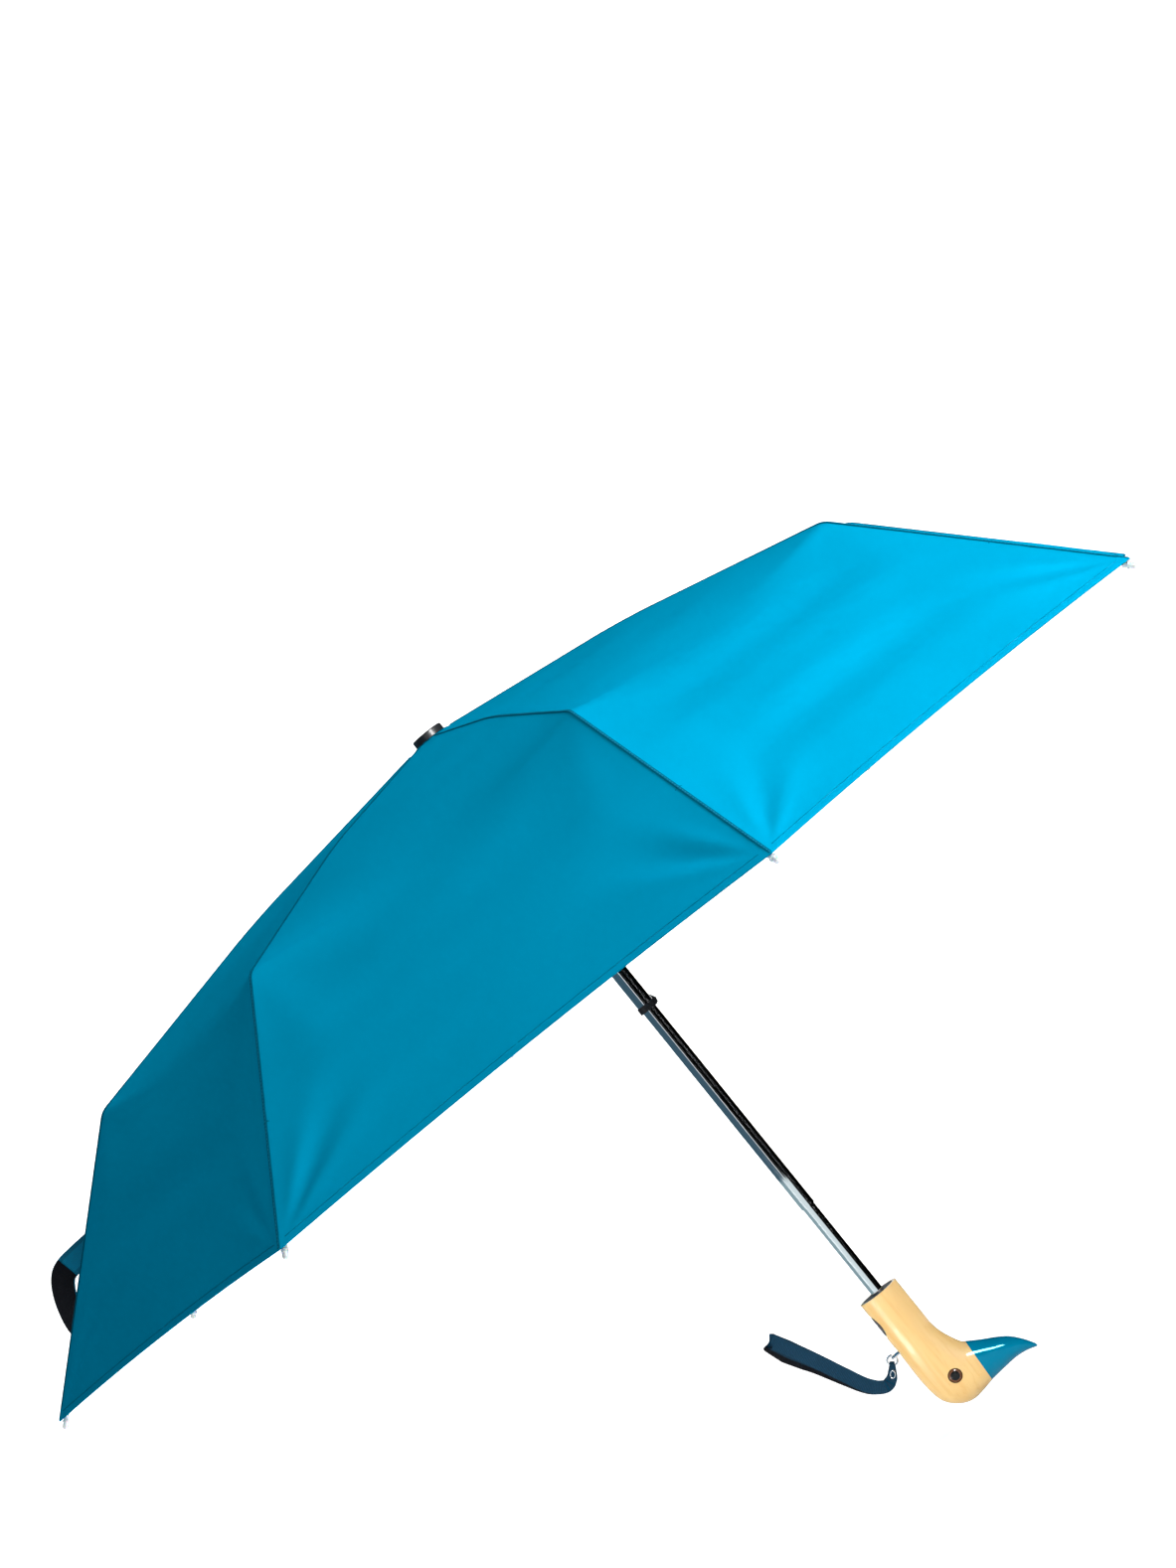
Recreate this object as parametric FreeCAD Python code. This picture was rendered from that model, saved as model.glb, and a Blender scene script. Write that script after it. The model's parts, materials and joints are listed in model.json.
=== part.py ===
"""Compact three-fold umbrella with a carved bird-head handle, in millimetres.

Frame: +Z up along the shaft, towards the crown. The origin is on the shaft axis in the middle of the
round grip. +X is the way the bird's beak points. The umbrella is modelled open, shaft drawn out.

Each rib is a chain: top rib, middle rib and tail rib, with a stretcher from the runner to the top
rib. A rib is drawn in its own plane, where u runs outwards along the member, n is the normal towards
the fabric and the plane's normal is Y, and is then turned about Z to its place on the crown.
"""
import FreeCAD
import Part
import math
import os
from FreeCAD import Placement, Rotation, Vector

# ---- driving dimensions ----
RIBS = 8
RIB_PHASE = 14.5            # azimuth of rib 1, degrees from +X
HANDLE_TOP = 20.0           # height of the handle's top face
GRIP_RADIUS = 15.1
CROWN_Z = 503.0             # height of the top rib pivots
PIVOT_RADIUS = 11.0         # of the crown's and the runner's pivots from the shaft axis

TOP_LENGTH = 165.0          # crown pivot to the first rib joint
MIDDLE_LENGTH = 165.0       # first rib joint to the second
TAIL_LENGTH = 210.0         # second rib joint to the end of the tip cap
TOP_SLOPE = -8.0            # directions of the open members, degrees above the horizontal
MIDDLE_SLOPE = -12.0
TAIL_SLOPE = -43.6
KNUCKLE_RISE = 3.0          # first joint's pin above the top rib's centre line
STRETCHER_AT = 100.0        # stretcher pin, along the top rib
STRETCHER_DROP = 7.0        # and below it
TAIL_DROP = 4.3             # second joint's pin below the first joint's pin line

RIB_HALF_WIDTH = 1.9        # rolled channel section
RIB_HALF_HEIGHT = 1.6
WALL = 0.5
EAR_THICKNESS = 0.6
PIN_RADIUS = 0.8
PIN_CLEARANCE = 0.05
RING_RADIUS = 0.8           # wire rings of the crown and the runner
RING_CLEARANCE = 0.2
TAIL_ROD_RADIUS = 1.1

OUTER_TUBE = (6.1, 5.4, 271.0, 512.0)     # outside radius, inside radius, lower end, upper end
MIDDLE_TUBE = (5.35, 4.65, 96.0, 301.0)
INNER_TUBE = (4.6, 3.9, -25.0, 126.0)

FABRIC = 0.4                # thickness of the canopy cloth
CANOPY_TOP = 511.2
CAP_RADIUS = 12.0

# ---- derived places in a rib's plane ----
STRETCHER_LENGTH = math.hypot(STRETCHER_AT, STRETCHER_DROP)
LINK_SLOPE = TOP_SLOPE - math.degrees(math.atan2(STRETCHER_DROP, STRETCHER_AT))
RUNNER_Z = CROWN_Z + 2 * STRETCHER_LENGTH * math.sin(math.radians(LINK_SLOPE))


def along(origin, slope, u, n):
    """Point u along and n above a member that starts at origin and rises at slope, as (radius, z)."""
    c, s = math.cos(math.radians(slope)), math.sin(math.radians(slope))
    return origin[0] + u * c - n * s, origin[1] + u * s + n * c


CROWN_PIN = (PIVOT_RADIUS, CROWN_Z)
RUNNER_PIN = (PIVOT_RADIUS, RUNNER_Z)
KNUCKLE_PIN = along(CROWN_PIN, TOP_SLOPE, TOP_LENGTH, KNUCKLE_RISE)
SHOULDER_PIN = along(KNUCKLE_PIN, MIDDLE_SLOPE, MIDDLE_LENGTH, -TAIL_DROP)


# ---- small shape helpers ----
def cylinder(radius, start, end):
    """Round bar between two points."""
    a, b = Vector(*start), Vector(*end)
    return Part.makeCylinder(radius, (b - a).Length, a, b - a)


def tube(radii_and_ends):
    outside, inside, low, high = radii_and_ends
    return cylinder(outside, (0, 0, low), (0, 0, high)).cut(cylinder(inside, (0, 0, low), (0, 0, high)))


def box(low, high):
    size = [h - l for l, h in zip(low, high)]
    return Part.makeBox(*size, Vector(*low))


def plate(outline, y_low, y_high):
    """Flat plate with an outline of (u, n) points, between two Y planes."""
    points = [Vector(u, y_low, n) for u, n in outline]
    face = Part.Face(Part.makePolygon(points + points[:1]))
    return face.extrude(Vector(0, y_high - y_low, 0))


def boss(radius, u, n, half_width):
    """Round boss across a member, centred on its plane."""
    return cylinder(radius, (u, -half_width, n), (u, half_width, n))


def ears(outline, radius, u, n, inner, outer):
    """Two side plates, each with a round end about the pin at (u, n)."""
    pair = []
    for low, high in ((inner, outer), (-outer, -inner)):
        disc = cylinder(radius, (u, low, n), (u, high, n))
        pair.append(plate(outline, low, high).fuse(disc))
    return pair


def rivet(u, n, reach):
    """Pin through both ears, headed outside them."""
    head_radius, head_height = 1.5, 0.4
    pin = boss(PIN_RADIUS, u, n, reach)
    for side in (-1, 1):
        pin = pin.fuse(cylinder(head_radius, (u, side * reach, n), (u, side * (reach + head_height), n)))
    return pin


def channel(start, end, centre, half_width, half_height, opens_down=True):
    """Rolled U section along u, open on its lower or upper side."""
    outside = box((start, -half_width, centre - half_height), (end, half_width, centre + half_height))
    low = centre - half_height - (1 if opens_down else -WALL)
    high = centre + half_height + (-WALL if opens_down else 1)
    inside = box((start - 1, WALL - half_width, low), (end + 1, half_width - WALL, high))
    return outside.cut(inside)


def fuse(shapes):
    return shapes[0].multiFuse(shapes[1:]).removeSplitter()


def ring(radius, wire_radius, z):
    return Part.makeTorus(radius, wire_radius, Vector(0, 0, z), Vector(0, 0, 1))


def azimuth(rib):
    return RIB_PHASE + rib * 360.0 / RIBS


def place(shape, origin, slope, rib):
    """Moves a member from its own frame to its place on rib number rib."""
    moved = shape.copy()
    moved.Placement = Placement(Vector(origin[0], 0, origin[1]), Rotation(Vector(0, 1, 0), -slope))
    moved.rotate(Vector(0, 0, 0), Vector(0, 0, 1), azimuth(rib))
    return moved


def save(name, *solids):
    shape = solids[0] if len(solids) == 1 else Part.makeCompound(list(solids))
    shape.exportStep(os.path.join("parts", name + ".step"))


# ---- rib members, each in its own frame ----
def top_rib():
    """Channel from the crown ring to the knuckle, with lugs for the stretcher pin."""
    root_width, pin_hole = 1.4, PIN_RADIUS + PIN_CLEARANCE
    ear = (RIB_HALF_WIDTH, RIB_HALF_WIDTH + EAR_THICKNESS)
    body = [channel(5, TOP_LENGTH - 7, 0, RIB_HALF_WIDTH, RIB_HALF_HEIGHT)]
    body.append(boss(2.2, 0, 0, root_width))
    body.append(box((0, -root_width, -1.3), (9, root_width, 1.3)))
    lug = [(STRETCHER_AT - 7, 1.6), (STRETCHER_AT + 7, 1.6), (STRETCHER_AT + 2.3, -STRETCHER_DROP),
           (STRETCHER_AT - 2.3, -STRETCHER_DROP)]
    body += ears(lug, 2.4, STRETCHER_AT, -STRETCHER_DROP, *ear)
    fork = [(TOP_LENGTH - 15, -1.6), (TOP_LENGTH - 6, -1.6), (TOP_LENGTH + 2.2, KNUCKLE_RISE - 1.2),
            (TOP_LENGTH - 1, KNUCKLE_RISE + 2.4), (TOP_LENGTH - 15, 1.6)]
    body += ears(fork, 2.6, TOP_LENGTH, KNUCKLE_RISE, *ear)
    member = fuse(body)
    member = member.cut(boss(RING_RADIUS + RING_CLEARANCE, 0, 0, 9))
    member = member.cut(boss(pin_hole, STRETCHER_AT, -STRETCHER_DROP, 9))
    member = member.cut(boss(pin_hole, TOP_LENGTH, KNUCKLE_RISE, 9))
    reach = ear[1]
    return [member, rivet(STRETCHER_AT, -STRETCHER_DROP, reach), rivet(TOP_LENGTH, KNUCKLE_RISE, reach)]


def stretcher():
    """Light channel from the runner's ring to the pin below the top rib."""
    half_width, root_width = 1.4, 1.0
    end = STRETCHER_LENGTH
    body = [channel(7, end - 7, 0, half_width, 1.5, opens_down=False)]
    body.append(boss(2.2, 0, 0, root_width))
    body.append(box((0, -root_width, -1.2), (10, root_width, 1.2)))
    body.append(boss(2.2, end, 0, half_width))
    body.append(box((end - 10, -half_width, -1.2), (end, half_width, 1.2)))
    member = fuse(body)
    member = member.cut(boss(RING_RADIUS + RING_CLEARANCE, 0, 0, 9))
    return [member.cut(boss(PIN_RADIUS + PIN_CLEARANCE, end, 0, 9))]


def middle_rib():
    """Channel whose knuckle tongue stands above it, so that it folds flat over the top rib."""
    centre, tongue_width = -KNUCKLE_RISE, 1.6
    web_top = centre + RIB_HALF_HEIGHT
    fork_inner = RIB_HALF_WIDTH - WALL
    end = MIDDLE_LENGTH
    arm = [(0, -2.3), (1.5, 1.8), (13, web_top), (20, web_top), (20, -2.6), (6, -2.8)]
    body = [channel(12, end - 1, centre, RIB_HALF_WIDTH, RIB_HALF_HEIGHT)]
    body.append(boss(2.4, 0, 0, tongue_width).fuse(plate(arm, -tongue_width, tongue_width)))
    fork = [(end - 12, -4.6), (end - 12, web_top), (end, web_top), (end + 2.2, -TAIL_DROP), (end - 2.2, -TAIL_DROP - 0.8)]
    body += ears(fork, 2.3, end, -TAIL_DROP, fork_inner, RIB_HALF_WIDTH)
    member = fuse(body)
    for u, n in ((0, 0), (end, -TAIL_DROP)):
        member = member.cut(boss(PIN_RADIUS + PIN_CLEARANCE, u, n, 9))
    wire_radius, wire_y = 0.7, -2.75
    drive_wire = cylinder(wire_radius, (7, wire_y, centre), (end - 8, wire_y, centre))
    return [member, rivet(end, -TAIL_DROP, RIB_HALF_WIDTH), drive_wire]


def tail_rib():
    """Glass-fibre rod with a flat eye at the shoulder."""
    rod = cylinder(TAIL_ROD_RADIUS, (0, 0, 0), (TAIL_LENGTH - 3.5, 0, 0))
    member = rod.fuse(boss(1.7, 0, 0, 1.25)).removeSplitter()
    return [member.cut(boss(PIN_RADIUS + PIN_CLEARANCE, 0, 0, 9))]


def rib_tip():
    """Moulded cap over the rod's end, with a domed nose and a flange that the hem is sewn to."""
    end = TAIL_LENGTH
    nose = 2.0
    body = cylinder(2.0, (end - 9.5, 0, 0), (end - nose, 0, 0))
    body = body.fuse(Part.makeSphere(nose, Vector(end - nose, 0, 0)))
    body = body.fuse(cylinder(2.7, (end - 6, 0, 0), (end - 5, 0, 0)))
    bore = cylinder(TAIL_ROD_RADIUS + 0.05, (end - 12, 0, 0), (end - 3.4, 0, 0))
    return [body.removeSplitter().cut(bore)]


def ribs():
    members = (("top_rib", top_rib(), CROWN_PIN, TOP_SLOPE),
               ("stretcher", stretcher(), RUNNER_PIN, -LINK_SLOPE),
               ("middle_rib", middle_rib(), KNUCKLE_PIN, MIDDLE_SLOPE),
               ("tail_rib", tail_rib(), SHOULDER_PIN, TAIL_SLOPE),
               ("rib_tip", rib_tip(), SHOULDER_PIN, TAIL_SLOPE))
    for name, solids, origin, slope in members:
        for rib in range(RIBS):
            save(f"{name}_{rib + 1}", *[place(s, origin, slope, rib) for s in solids])


# ---- hubs ----
def slots(width, inner, low, high):
    """Eight radial slots, open outwards."""
    cutters = []
    for rib in range(RIBS):
        cutter = box((inner, -width / 2, low), (20, width / 2, high))
        cutter.rotate(Vector(0, 0, 0), Vector(0, 0, 1), azimuth(rib))
        cutters.append(cutter)
    return cutters


def crown():
    """Notched hub fixed to the top of the shaft. The notches open downwards for the folding ribs."""
    z = CROWN_Z
    hub = cylinder(12.5, (0, 0, z - 4), (0, 0, z + 5.5)).fuse(cylinder(8.3, (0, 0, z - 14), (0, 0, z - 4)))
    hub = hub.cut(cylinder(OUTER_TUBE[0], (0, 0, z - 20), (0, 0, z + 20)))
    for cutter in slots(3.3, 8.3, z - 6, z + 2.7):
        hub = hub.cut(cutter)
    hub = hub.cut(ring(PIVOT_RADIUS, RING_RADIUS + 0.1, z))
    save("crown", hub)
    save("crown_wire", ring(PIVOT_RADIUS, RING_RADIUS, z))


def crown_cap():
    """Domed cap that clamps the canopy onto the crown, with a stem inside the tube."""
    low, high = CANOPY_TOP + 0.3, CANOPY_TOP + 5.3
    cap = cylinder(CAP_RADIUS, (0, 0, low), (0, 0, high))
    cap = cap.makeFillet(1.2, [e for e in cap.Edges if e.BoundBox.ZMin > high - 0.1])
    cap = cap.cut(cylinder(OUTER_TUBE[0] + 0.1, (0, 0, low - 1), (0, 0, OUTER_TUBE[3] + 0.2)))
    stem = cylinder(OUTER_TUBE[1], (0, 0, OUTER_TUBE[3] - 10), (0, 0, OUTER_TUBE[3] + 0.2))
    save("crown_cap", cap.fuse(stem).removeSplitter())


def runner():
    """Sliding hub. Its notches open upwards for the folding stretchers."""
    z = RUNNER_Z
    bore = OUTER_TUBE[0] + 0.1
    body = cylinder(8.2, (0, 0, z - 22), (0, 0, z + 4)).fuse(cylinder(12.5, (0, 0, z - 4), (0, 0, z + 2)))
    body = body.fuse(Part.makeCone(10.5, 8.2, 6, Vector(0, 0, z - 22), Vector(0, 0, 1)))
    body = body.cut(cylinder(bore, (0, 0, z - 30), (0, 0, z + 10)))
    for cutter in slots(2.7, 8.2, z - 2.7, z + 6):
        body = body.cut(cutter)
    body = body.cut(ring(PIVOT_RADIUS, RING_RADIUS + 0.1, z))
    save("runner", body)
    save("runner_wire", ring(PIVOT_RADIUS, RING_RADIUS, z))


# ---- shaft ----
def shaft():
    save("outer_tube", tube(OUTER_TUBE))
    save("middle_tube", tube(MIDDLE_TUBE))
    save("inner_tube", tube(INNER_TUBE))
    low = OUTER_TUBE[2] - 1
    collar = cylinder(7.0, (0, 0, low), (0, 0, low + 5))
    collar = collar.fuse(plate([(6.3, low), (8.4, low + 1), (9.0, low + 4), (6.3, low + 9)], -2, 2))
    collar = collar.cut(cylinder(OUTER_TUBE[0], (0, 0, OUTER_TUBE[2]), (0, 0, low + 20)))
    save("shaft_collar", collar.cut(cylinder(OUTER_TUBE[1], (0, 0, low - 1), (0, 0, low + 20))))


# ---- handle ----
# Sections of the carved head: front and back points in the XZ plane, and half the width across Y.
# The first only sets the direction in which the second, the grip's lower end, is left.
HEAD_SECTIONS = (
    ((14.8, 1.0), (-14.8, 1.0), 14.8),
    ((14.8, -16.0), (-14.8, -16.0), 14.8),
    ((16.5, -27.0), (-15.3, -33.0), 15.0),
    ((19.8, -35.5), (-15.2, -51.0), 15.2),
    ((22.3, -40.5), (-11.4, -68.0), 15.4),
    ((23.8, -42.8), (3.5, -78.6), 14.6),
    ((25.5, -44.0), (23.5, -76.0), 12.6),
    ((35.0, -50.0), (35.5, -74.9), 11.2),
    ((44.5, -55.4), (46.0, -74.3), 9.8),
    ((52.0, -60.9), (54.5, -75.3), 7.6),
    ((58.6, -69.0), (60.0, -76.9), 4.6),
    ((62.4, -75.4), (62.6, -77.7), 1.5),
)
HEAD_START = 1
BEAK_START = 6              # the section where the bare wood ends and the beak begins
GRIP_BOTTOM = -17.0


def between(a, b, c, d, t):
    """Smooth curve from b to c, with a and d as neighbours."""
    return b + 0.5 * t * (c - a + t * (2 * a - 5 * b + 4 * c - d + t * (3 * (b - c) + d - a)))


def section_points(front_x, front_z, back_x, back_z, half_width):
    """Points of an oval through the front and back points."""
    samples = 24
    # the control points of a cubic curve lie this much outside it
    swell = 3.0 / (2.0 + math.cos(2 * math.pi / samples))
    centre = Vector((front_x + back_x) / 2, 0, (front_z + back_z) / 2)
    reach = Vector((front_x - back_x) / 2, 0, (front_z - back_z) / 2)
    points = []
    for i in range(samples):
        angle = 2 * math.pi * i / samples
        spoke = reach * math.cos(angle) + Vector(0, half_width * math.sin(angle), 0)
        points.append(centre + spoke * swell)
    return points


def carved(first, last):
    """Smooth solid through the head's sections from first to last."""
    steps, degree = 3, 3
    rows = [(*front, *back, half_width) for front, back, half_width in HEAD_SECTIONS]
    grid = []
    for i in range(first, last):
        neighbours = [rows[min(max(k, 0), len(rows) - 1)] for k in (i - 1, i, i + 1, i + 2)]
        for step in range(steps + (i == last - 1)):
            grid.append(section_points(*[between(*values, step / steps) for values in zip(*neighbours)]))
    knots = list(range(len(grid) - degree + 1))
    multiplicities = [degree + 1] + [1] * (len(knots) - 2) + [degree + 1]
    around = list(range(len(grid[0]) + 1))
    surface = Part.BSplineSurface()
    surface.buildFromPolesMultsKnots(grid, multiplicities, [1] * len(around), knots, around,
                                     False, True, degree, degree)
    side = surface.toShape()
    ends = []
    for knot in (knots[0], knots[-1]):
        rim = surface.uIso(knot).toShape()
        ends.append(Part.Face(Part.Wire([rim])))
    shell = Part.makeShell([side] + ends)
    shell.sewShape()
    solid = Part.makeSolid(shell)
    if solid.Volume < 0:
        solid.reverse()
    return solid


BUTTON_Z = 1.0
BUTTON_TRAVEL = 2.5
EYE_PLACE = (5.6, -56.0)    # X and Z of the eyes
EYE_RADIUS = 5.2
STAPLE_Z = -21.6
EYE_BAR_X = -20.5           # the bar of the wire eye that the strap swings on


def capsule(half_length, half_width, x_low, x_high):
    """Upright rounded bar along X, centred on the button."""
    straight = half_length - half_width
    core = box((x_low, -half_width, BUTTON_Z - straight), (x_high, half_width, BUTTON_Z + straight))
    for side in (-1, 1):
        z = BUTTON_Z + side * straight
        core = core.fuse(cylinder(half_width, (x_low, 0, z), (x_high, 0, z)))
    return core.removeSplitter()


def handle():
    grip = cylinder(GRIP_RADIUS, (0, 0, GRIP_BOTTOM), (0, 0, HANDLE_TOP))
    wood = grip.fuse(carved(HEAD_START, BEAK_START))
    beak = carved(BEAK_START, len(HEAD_SECTIONS) - 1)

    insert_radius, flange_radius, flange_height = 7.5, 12.5, 1.6
    wood = wood.cut(cylinder(insert_radius, (0, 0, -27), (0, 0, HANDLE_TOP + 1)))
    wood = wood.cut(cylinder(flange_radius, (0, 0, HANDLE_TOP - flange_height), (0, 0, HANDLE_TOP + 1)))
    scoop_radius, scoop_depth = 24.0, 2.3
    scoop_x = -GRIP_RADIUS - scoop_radius + scoop_depth
    wood = wood.cut(cylinder(scoop_radius, (scoop_x, -20, BUTTON_Z), (scoop_x, 20, BUTTON_Z)))
    wood = wood.cut(capsule(9.5, 5.6, -20, -6))
    x, z = EYE_PLACE
    eye_depth = 5.0
    eye_seat = 14.1 - eye_depth / 2
    for side in (-1, 1):
        wood = wood.cut(cylinder(EYE_RADIUS, (x, side * eye_seat, z), (x, side * 20, z)))
    peg_radius, peg_half = 0.9, 3.0
    for side in (-1, 1):
        wood = wood.cut(cylinder(peg_radius, (-20, side * peg_half, STAPLE_Z), (-9, side * peg_half, STAPLE_Z)))
    save("handle", wood)
    save("beak", beak)

    insert = cylinder(insert_radius, (0, 0, -27), (0, 0, HANDLE_TOP - flange_height))
    insert = insert.fuse(cylinder(flange_radius, (0, 0, HANDLE_TOP - flange_height), (0, 0, HANDLE_TOP)))
    insert = insert.cut(cylinder(INNER_TUBE[0], (0, 0, INNER_TUBE[2]), (0, 0, HANDLE_TOP + 1)))
    spring_seat = -5.2
    insert = insert.cut(cylinder(3.2, (-9, 0, BUTTON_Z), (spring_seat, 0, BUTTON_Z)))
    save("handle_insert", insert.removeSplitter())

    eyes = []
    for side in (-1, 1):
        bead = cylinder(EYE_RADIUS - 0.05, (x, side * eye_seat, z), (x, side * (eye_seat + 2.2), z))
        dome_radius = 8.5
        centre = eye_seat + 2.2 - math.sqrt(dome_radius ** 2 - (EYE_RADIUS - 0.05) ** 2)
        dome = Part.makeSphere(dome_radius, Vector(x, side * centre, z))
        outside = cylinder(EYE_RADIUS - 0.05, (x, side * (eye_seat + 2.2), z), (x, side * 20, z))
        eyes.append(bead.fuse(dome.common(outside)).removeSplitter())
    save("eyes", *eyes)

    button_back, button_front = -9.8, -14.9
    button = capsule(9.0, 5.1, button_front, button_back)
    button = button.makeFillet(1.4, [e for e in button.Edges if e.BoundBox.XMax < button_front + 0.1])
    save("release_button", button)
    save("button_spring", spring(spring_seat - 0.1, button_back + 0.1))

    save("strap_staple", staple(peg_radius, peg_half))


def spring(x_high, x_low):
    """Light compression spring along X, between the insert and the button."""
    radius, wire, turns = 2.3, 0.3, 3.0
    length = x_high - x_low - 2 * wire
    helix = Part.makeHelix(length / turns, length, radius)
    profile = Part.Wire([Part.Circle(Vector(radius, 0, 0), Vector(0, 1, 0), wire).toShape()])
    coil = Part.Wire(helix.Edges).makePipeShell([profile], True, True)
    coil.rotate(Vector(0, 0, 0), Vector(0, 1, 0), 90)
    coil.translate(Vector(x_low + wire, 0, BUTTON_Z))
    return coil


def staple(wire, half):
    """Bent wire eye that the strap's ring hangs from, both legs set into the wood."""
    z = STAPLE_Z
    legs_in, corner = -9.2, 1.0
    x_in, x_out = EYE_BAR_X + corner, EYE_BAR_X
    eased = corner * (1 - math.sqrt(0.5))

    def bend(side):
        return Part.Arc(Vector(x_in, side * half, z), Vector(x_out + eased, side * (half - eased), z),
                        Vector(x_out, side * (half - corner), z)).toShape()

    start = Vector(legs_in, half, z)
    pieces = [
        Part.LineSegment(start, Vector(x_in, half, z)).toShape(),
        bend(1),
        Part.LineSegment(Vector(x_out, half - corner, z), Vector(x_out, corner - half, z)).toShape(),
        bend(-1),
        Part.LineSegment(Vector(x_in, -half, z), Vector(legs_in, -half, z)).toShape(),
    ]
    path = Part.Wire(Part.__sortEdges__(pieces))
    profile = Part.Wire([Part.Circle(start, Vector(1, 0, 0), wire).toShape()])
    return path.makePipeShell([profile], True, False)


# ---- soft parts ----
STRAP_LAYER = 1.2
STRAP_GAP = 0.8             # half the gap between the two layers, round the ring's wire
# The strap's middle line in the XZ plane from the ring to its far fold, each with its half width.
STRAP_LINE = ((-22.6, -23.7, 1.7), (-26.5, -27.6, 2.0), (-31.5, -31.6, 4.2), (-38.0, -33.0, 5.5), (-47.0, -24.5, 5.6),
              (-57.0, -3.0, 5.6), (-67.0, 18.0, 5.6), (-76.5, 38.0, 5.6), (-81.0, 46.5, 5.4))
RING_AT = (-21.84, -22.94)
RING = (3.6, 0.7)


def ribbon(line, widen, y_half):
    """Flat band along a line in the XZ plane, its width in that plane."""
    centre = Part.BSplineCurve()
    centre.interpolate([Vector(x, 0, z) for x, z, _ in line])
    widths = Part.BSplineCurve()
    widths.interpolate([Vector(i, 0, w + widen) for i, (_, _, w) in enumerate(line)])
    count = 48
    left, right = [], []
    for i in range(count + 1):
        share = i / count
        t = centre.FirstParameter + (centre.LastParameter - centre.FirstParameter) * share
        w = widths.FirstParameter + (widths.LastParameter - widths.FirstParameter) * share
        tangent = Vector(*centre.tangent(t)[0])
        side = Vector(-tangent.z, 0, tangent.x) * widths.value(w).z
        left.append(centre.value(t) + side)
        right.append(centre.value(t) - side)
    edges = []
    for points in (left, right):
        border = Part.BSplineCurve()
        border.interpolate(points)
        edges.append(border.toShape())
    edges.append(Part.LineSegment(left[-1], right[-1]).toShape())
    edges.append(Part.LineSegment(right[0], left[0]).toShape())
    face = Part.Face(Part.Wire(Part.__sortEdges__(edges)))
    face.translate(Vector(0, -y_half, 0))
    return face.extrude(Vector(0, 2 * y_half, 0))


def shortened(line, start, end):
    """The line without its first and last few millimetres, as shares of the end spans."""
    first, second, before, last = line[0], line[1], line[-2], line[-1]
    opening = tuple(a + (b - a) * start for a, b in zip(first, second))
    closing = tuple(b + (a - b) * end for a, b in zip(before, last))
    return (opening, *line[1:-1], closing)


def wrist_strap():
    """Webbing loop: two layers joined at both folds, the narrow one passing through the ring."""
    whole = ribbon(STRAP_LINE, 0.0, STRAP_GAP + STRAP_LAYER)
    between_layers = ribbon(shortened(STRAP_LINE, 0.22, 0.13), 3.0, STRAP_GAP)
    save("wrist_strap", whole.cut(between_layers))


def strap_ring():
    """Split ring that joins the strap to the eye in the handle."""
    x, z = RING_AT
    save("strap_ring", Part.makeTorus(*RING, Vector(x, 0, z), Vector(0, 1, 0)))


def canopy_rings():
    """Radius and height of the cloth over a rib, from the crown outwards."""
    over_knuckle = along(KNUCKLE_PIN, MIDDLE_SLOPE, 0, 3.4)
    over_shoulder = along(SHOULDER_PIN, MIDDLE_SLOPE, 1.2, TAIL_DROP + 0.4)
    at_tip = along(SHOULDER_PIN, TAIL_SLOPE, TAIL_LENGTH - 5.8, 3.4)
    return [(7.0, CANOPY_TOP), (13.5, CANOPY_TOP), over_knuckle, over_shoulder, at_tip]


def canopy():
    """Eight sewn gores as one thin closed shell with straight panels between the ribs."""
    rings = canopy_rings()
    above, below = [], []
    for radius, z in rings:
        for surface, drop in ((above, 0.0), (below, FABRIC)):
            row = []
            for rib in range(RIBS):
                angle = math.radians(azimuth(rib))
                row.append(Vector(radius * math.cos(angle), radius * math.sin(angle), z - drop))
            surface.append(row)

    def quad(a, b, c, d):
        return Part.Face(Part.makePolygon([a, b, c, d, a]))

    faces = []
    for rib in range(RIBS):
        after = (rib + 1) % RIBS
        for surface in (above, below):
            for inner, outer in zip(surface, surface[1:]):
                faces.append(quad(inner[rib], outer[rib], outer[after], inner[after]))
        for edge in (0, -1):
            faces.append(quad(above[edge][rib], above[edge][after], below[edge][after], below[edge][rib]))
    shell = Part.makeShell(faces)
    solid = Part.makeSolid(shell)
    if solid.Volume < 0:
        solid.reverse()
    save("canopy", solid)


TIE_SHARE = 0.29            # where the strap is sewn, from the panel's shoulder to its hem
TIE_HALF_WIDTH = 8.0
TIE_HALF_THICKNESS = 0.8
# The strap's middle line from there, as distances outwards and upwards.
TIE_LINE = ((0.95, 0.95), (10.8, -9.1), (23.0, -15.6), (39.0, -18.2), (57.0, -20.0), (78.0, -22.0), (92.0, -24.0),
            (100.4, -28.0), (105.6, -38.0), (110.6, -49.5), (114.5, -58.5))


def tie_strap():
    """Closing strap sewn to the outside of one panel; its free end stands off the cloth and bends down."""
    inner, outer = canopy_rings()[-2:]
    # the panel's middle is nearer the axis than its ribs
    flat = math.cos(math.pi / RIBS)
    turn = azimuth(3) + 360.0 / RIBS / 2
    sewn_at = (inner[0] * flat + (outer[0] - inner[0]) * flat * TIE_SHARE,
               inner[1] + (outer[1] - inner[1]) * TIE_SHARE)
    line = [(sewn_at[0] + out, sewn_at[1] + up, TIE_HALF_THICKNESS) for out, up in TIE_LINE]
    band = ribbon(line, 0.0, TIE_HALF_WIDTH)
    band.rotate(Vector(0, 0, 0), Vector(0, 0, 1), turn)
    save("tie_strap", band)


os.makedirs("parts", exist_ok=True)
shaft()
crown()
crown_cap()
runner()
ribs()
handle()
wrist_strap()
strap_ring()
canopy()
tie_strap()
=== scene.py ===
import json
import math
import bpy
import numpy as np
from mathutils import Matrix, Vector


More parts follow.
